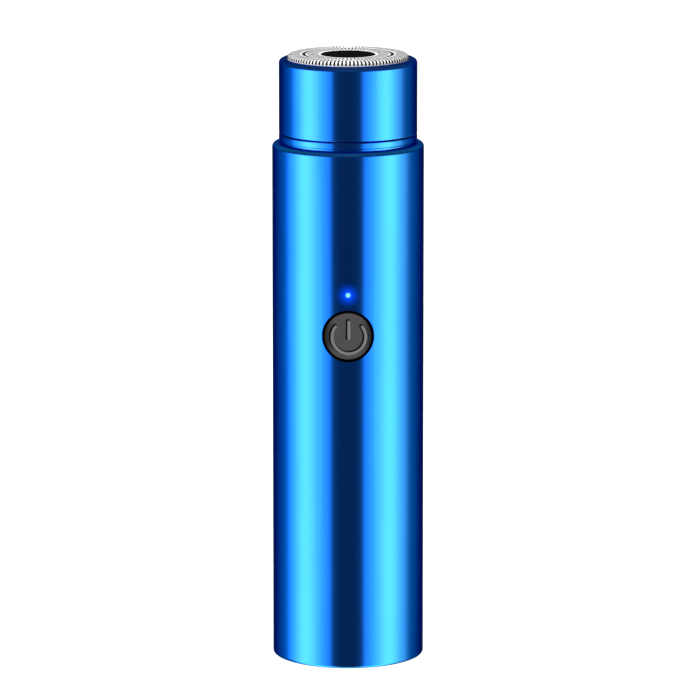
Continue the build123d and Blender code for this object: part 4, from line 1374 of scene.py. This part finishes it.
@dataclass
class Studio:
    """Pale floor, a tent of soft panels round the object, three lamps and the camera.

    The panels' brightness, and how much blue is left in their light on the right, are given by the
    turn in degrees from the front. Above the band the tent has one overhead level.
    """

    floor_reach: float = 2.8
    floor_albedo: float = 0.4
    floor_mottle: float = 0.01
    floor_cloud: float = 0.05
    floor_lift: float = 0.86
    tent_radius: float = 3.0
    tent_turn: float = -1.2
    band_top: float = -1.5
    band_fade: float = 2.5
    overhead: float = 0.16
    brightest: float = 4.2
    panels: Stops = (
        (0.0, 0.085),
        (10.0, 0.085),
        (19.0, 0.13),
        (22.0, 0.2),
        (24.5, 0.55),
        (27.5, 1.05),
        (31.0, 1.3),
        (38.0, 1.75),
        (46.0, 2.4),
        (54.0, 3.3),
        (62.0, 4.0),
        (68.0, 4.2),
        (74.0, 3.95),
        (82.0, 3.05),
        (90.0, 2.15),
        (96.0, 1.75),
        (101.0, 1.3),
        (106.0, 0.72),
        (112.0, 0.46),
        (120.0, 0.34),
        (135.0, 0.22),
        (150.0, 0.12),
        (180.0, 0.1),
    )
    warm_side: Stops = (
        (0.0, 1.0),
        (62.0, 1.0),
        (78.0, 0.36),
        (92.0, 0.48),
        (101.0, 0.62),
        (110.0, 0.75),
        (126.0, 0.9),
        (180.0, 1.0),
    )
    flank_start: float = 76.0
    flank_fade: float = 12.0
    cool_red: float = 0.45
    cool_level: float = 0.9
    cool_share: float = 0.9
    back_level: float = 0.24
    back_start: float = 120.0
    back_fade: float = 10.0
    back_foot: float = 6.0
    back_top: float = 50.0
    back_top_fade: float = 15.0
    lamps: tuple[Lamp, ...] = (
        Lamp(-38.0, 45.0, 1.6, 1.0, 24.0),
        Lamp(45.0, 50.0, 1.8, 1.2, 6.0),
        Lamp(0.0, 84.0, 1.7, 1.3, 24.0),
    )
    camera_distance: float = 1.15
    camera_elevation: float = 10.78
    camera_x: float = 0.00038
    target_z: float = 0.06147
    lens: float = 297.6
    sensor: float = 36.0
    view_start: float = 0.05
    view_end: float = 20.0

    def build(self) -> None:
        """Lay the floor, put up the tent, hang the lamps and place the camera."""
        self.lay_floor()
        self.raise_tent()
        self.light_world()
        for lamp in self.lamps:
            lamp.build(Vector((0.0, 0.0, self.target_z)))
        self.place_camera()
        bpy.context.scene.view_settings.view_transform = "Standard"

    def lay_floor(self) -> None:
        """Lay a pale round floor that keeps the object's shadow and stays out of its metal."""
        bpy.ops.object.select_all(action="DESELECT")
        bpy.ops.mesh.primitive_circle_add(vertices=96, radius=self.floor_reach, fill_type="NGON")
        floor = bpy.context.object
        floor.name = "floor"
        graph = Graph("floor")
        cloud = graph.noise(self.floor_cloud, 2.0)
        tone = graph.spread(cloud, self.floor_albedo - self.floor_mottle, self.floor_albedo)
        paper = graph.add("ShaderNodeBsdfDiffuse", None, {"Color": graph.shaded((1.0, 1.0, 1.0), tone)})
        path = graph.add("ShaderNodeLightPath")
        seen = graph.math("MAXIMUM", path.outputs["Is Camera Ray"], path.outputs["Is Glossy Ray"])
        seen = graph.math("MAXIMUM", seen, path.outputs["Is Transmission Ray"])
        strength = graph.product(seen, self.floor_lift)
        lift = graph.add("ShaderNodeEmission", None, {"Strength": strength})
        both = graph.add("ShaderNodeAddShader", None, {0: paper.outputs[0], 1: lift.outputs[0]})
        floor.data.materials.append(graph.surface(both.outputs[0]))
        floor.visible_glossy = False

    def raise_tent(self) -> None:
        """Put up the round tent whose panels light the object and show in its metal."""
        bpy.ops.mesh.primitive_uv_sphere_add(segments=64, ring_count=32, radius=self.tent_radius)
        tent = bpy.context.object
        tent.name = "light_tent"
        tent.rotation_euler.z = math.radians(self.tent_turn)
        graph = Graph("light_tent")
        x, y, z = graph.parts()
        turn = graph.math("DEGREES", graph.math("ARCTAN2", x, graph.product(y, -1.0)))
        left = graph.math("LESS_THAN", turn, 0.0)
        turn = graph.math("ABSOLUTE", turn)
        rise = graph.math("ARCSINE", graph.math("DIVIDE", z, self.tent_radius))
        rise = graph.math("DEGREES", rise)
        band = (self.band_top - self.band_fade, self.band_top + self.band_fade)
        over = graph.spread(rise, 0.0, 1.0, *band)
        level = self.panel_level(graph, turn, rise, over)
        tint = self.panel_tint(graph, turn, level, left, over)
        glow = graph.add("ShaderNodeEmission", None, {"Color": tint, "Strength": level})
        tent.data.materials.append(graph.surface(glow.outputs[0]))
        tent.data.materials[0].cycles.emission_sampling = "NONE"
        tent.visible_camera = False
        tent.visible_shadow = False

    def panel_level(self, graph: Graph, turn: Any, rise: Any, over: Any) -> Any:
        """Work out how bright the tent is.

        Args:
            graph: The tent's node tree.
            turn: Degrees to either side of the front.
            rise: Degrees above the tent's middle.
            over: 1 above the band of panels, 0 in it.

        Returns:
            The brightness.
        """
        share = graph.math("DIVIDE", turn, HALF_TURN)
        stops = [(place / HALF_TURN, value / self.brightest) for place, value in self.panels]
        level = graph.product(graph.curve(share, stops), self.brightest)
        level = graph.product(level, graph.math("SUBTRACT", 1.0, over))
        level = graph.math("ADD", level, graph.product(over, self.overhead))
        back = graph.spread(turn, 0.0, self.back_level, self.back_start, self.back_start + self.back_fade)
        foot = graph.spread(rise, 0.0, 1.0, 0.0, self.back_foot)
        top = graph.spread(rise, 1.0, 0.0, self.back_top, self.back_top + self.back_top_fade)
        return graph.math("MAXIMUM", level, graph.product(back, foot, top))

    def panel_tint(self, graph: Graph, turn: Any, level: Any, left: Any, over: Any) -> Any:
        """Work out the colour of the tent's light: less red where it is dim, less blue on the right.

        Args:
            graph: The tent's node tree.
            turn: Degrees to either side of the front.
            level: The brightness.
            left: 1 on the left half, 0 on the right.
            over: 1 above the band of panels, 0 in it.

        Returns:
            The colour.
        """
        share = graph.math("DIVIDE", turn, HALF_TURN)
        warm = graph.curve(share, [(place / HALF_TURN, value) for place, value in self.warm_side])
        warm = graph.math("MAXIMUM", warm, graph.math("MAXIMUM", left, over))
        flank = graph.spread(turn, 0.0, 1.0, self.flank_start, self.flank_start + self.flank_fade)
        flank = graph.product(flank, graph.math("SUBTRACT", 1.0, left))
        bright = self.brightest * self.cool_share
        cool = graph.spread(level, self.cool_red, 1.0, self.cool_level, bright)
        cool = graph.math("MAXIMUM", cool, graph.math("MAXIMUM", flank, over))
        return graph.add("ShaderNodeCombineColor", None, {0: cool, 1: 1.0, 2: warm}).outputs[0]

    def light_world(self) -> None:
        """Give the world the floor's white, for what looks past the floor's edge."""
        world = bpy.data.worlds.new("studio")
        world.use_nodes = True
        world.node_tree.nodes["Background"].inputs["Color"].default_value = (1.0, 1.0, 1.0, 1.0)
        world.node_tree.nodes["Background"].inputs["Strength"].default_value = 1.0
        bpy.context.scene.world = world

    def place_camera(self) -> None:
        """Stand the camera in front of the button, a little above it."""
        rise = math.radians(self.camera_elevation)
        place = (
            self.camera_x,
            -self.camera_distance * math.cos(rise),
            self.target_z + self.camera_distance * math.sin(rise),
        )
        bpy.ops.object.camera_add(location=place, rotation=(math.pi / 2 - rise, 0.0, 0.0))
        camera = bpy.context.object
        camera.data.sensor_width = self.sensor
        camera.data.lens = self.lens
        camera.data.clip_start = self.view_start
        camera.data.clip_end = self.view_end
        bpy.context.scene.camera = camera


def main() -> None:
    """Build and dress the sub-assemblies, then set up the studio."""
    logging.basicConfig(level=logging.INFO, format="%(message)s")
    for assembly in (Handle(), Neck(), Head(), Cutter(), Motor(), Power()):
        for piece in assembly.build():
            log.info("%s: built, %d faces", piece.name, len(piece.data.polygons))
        assembly.dress()
    Studio().build()


if __name__ == "__main__":
    main()
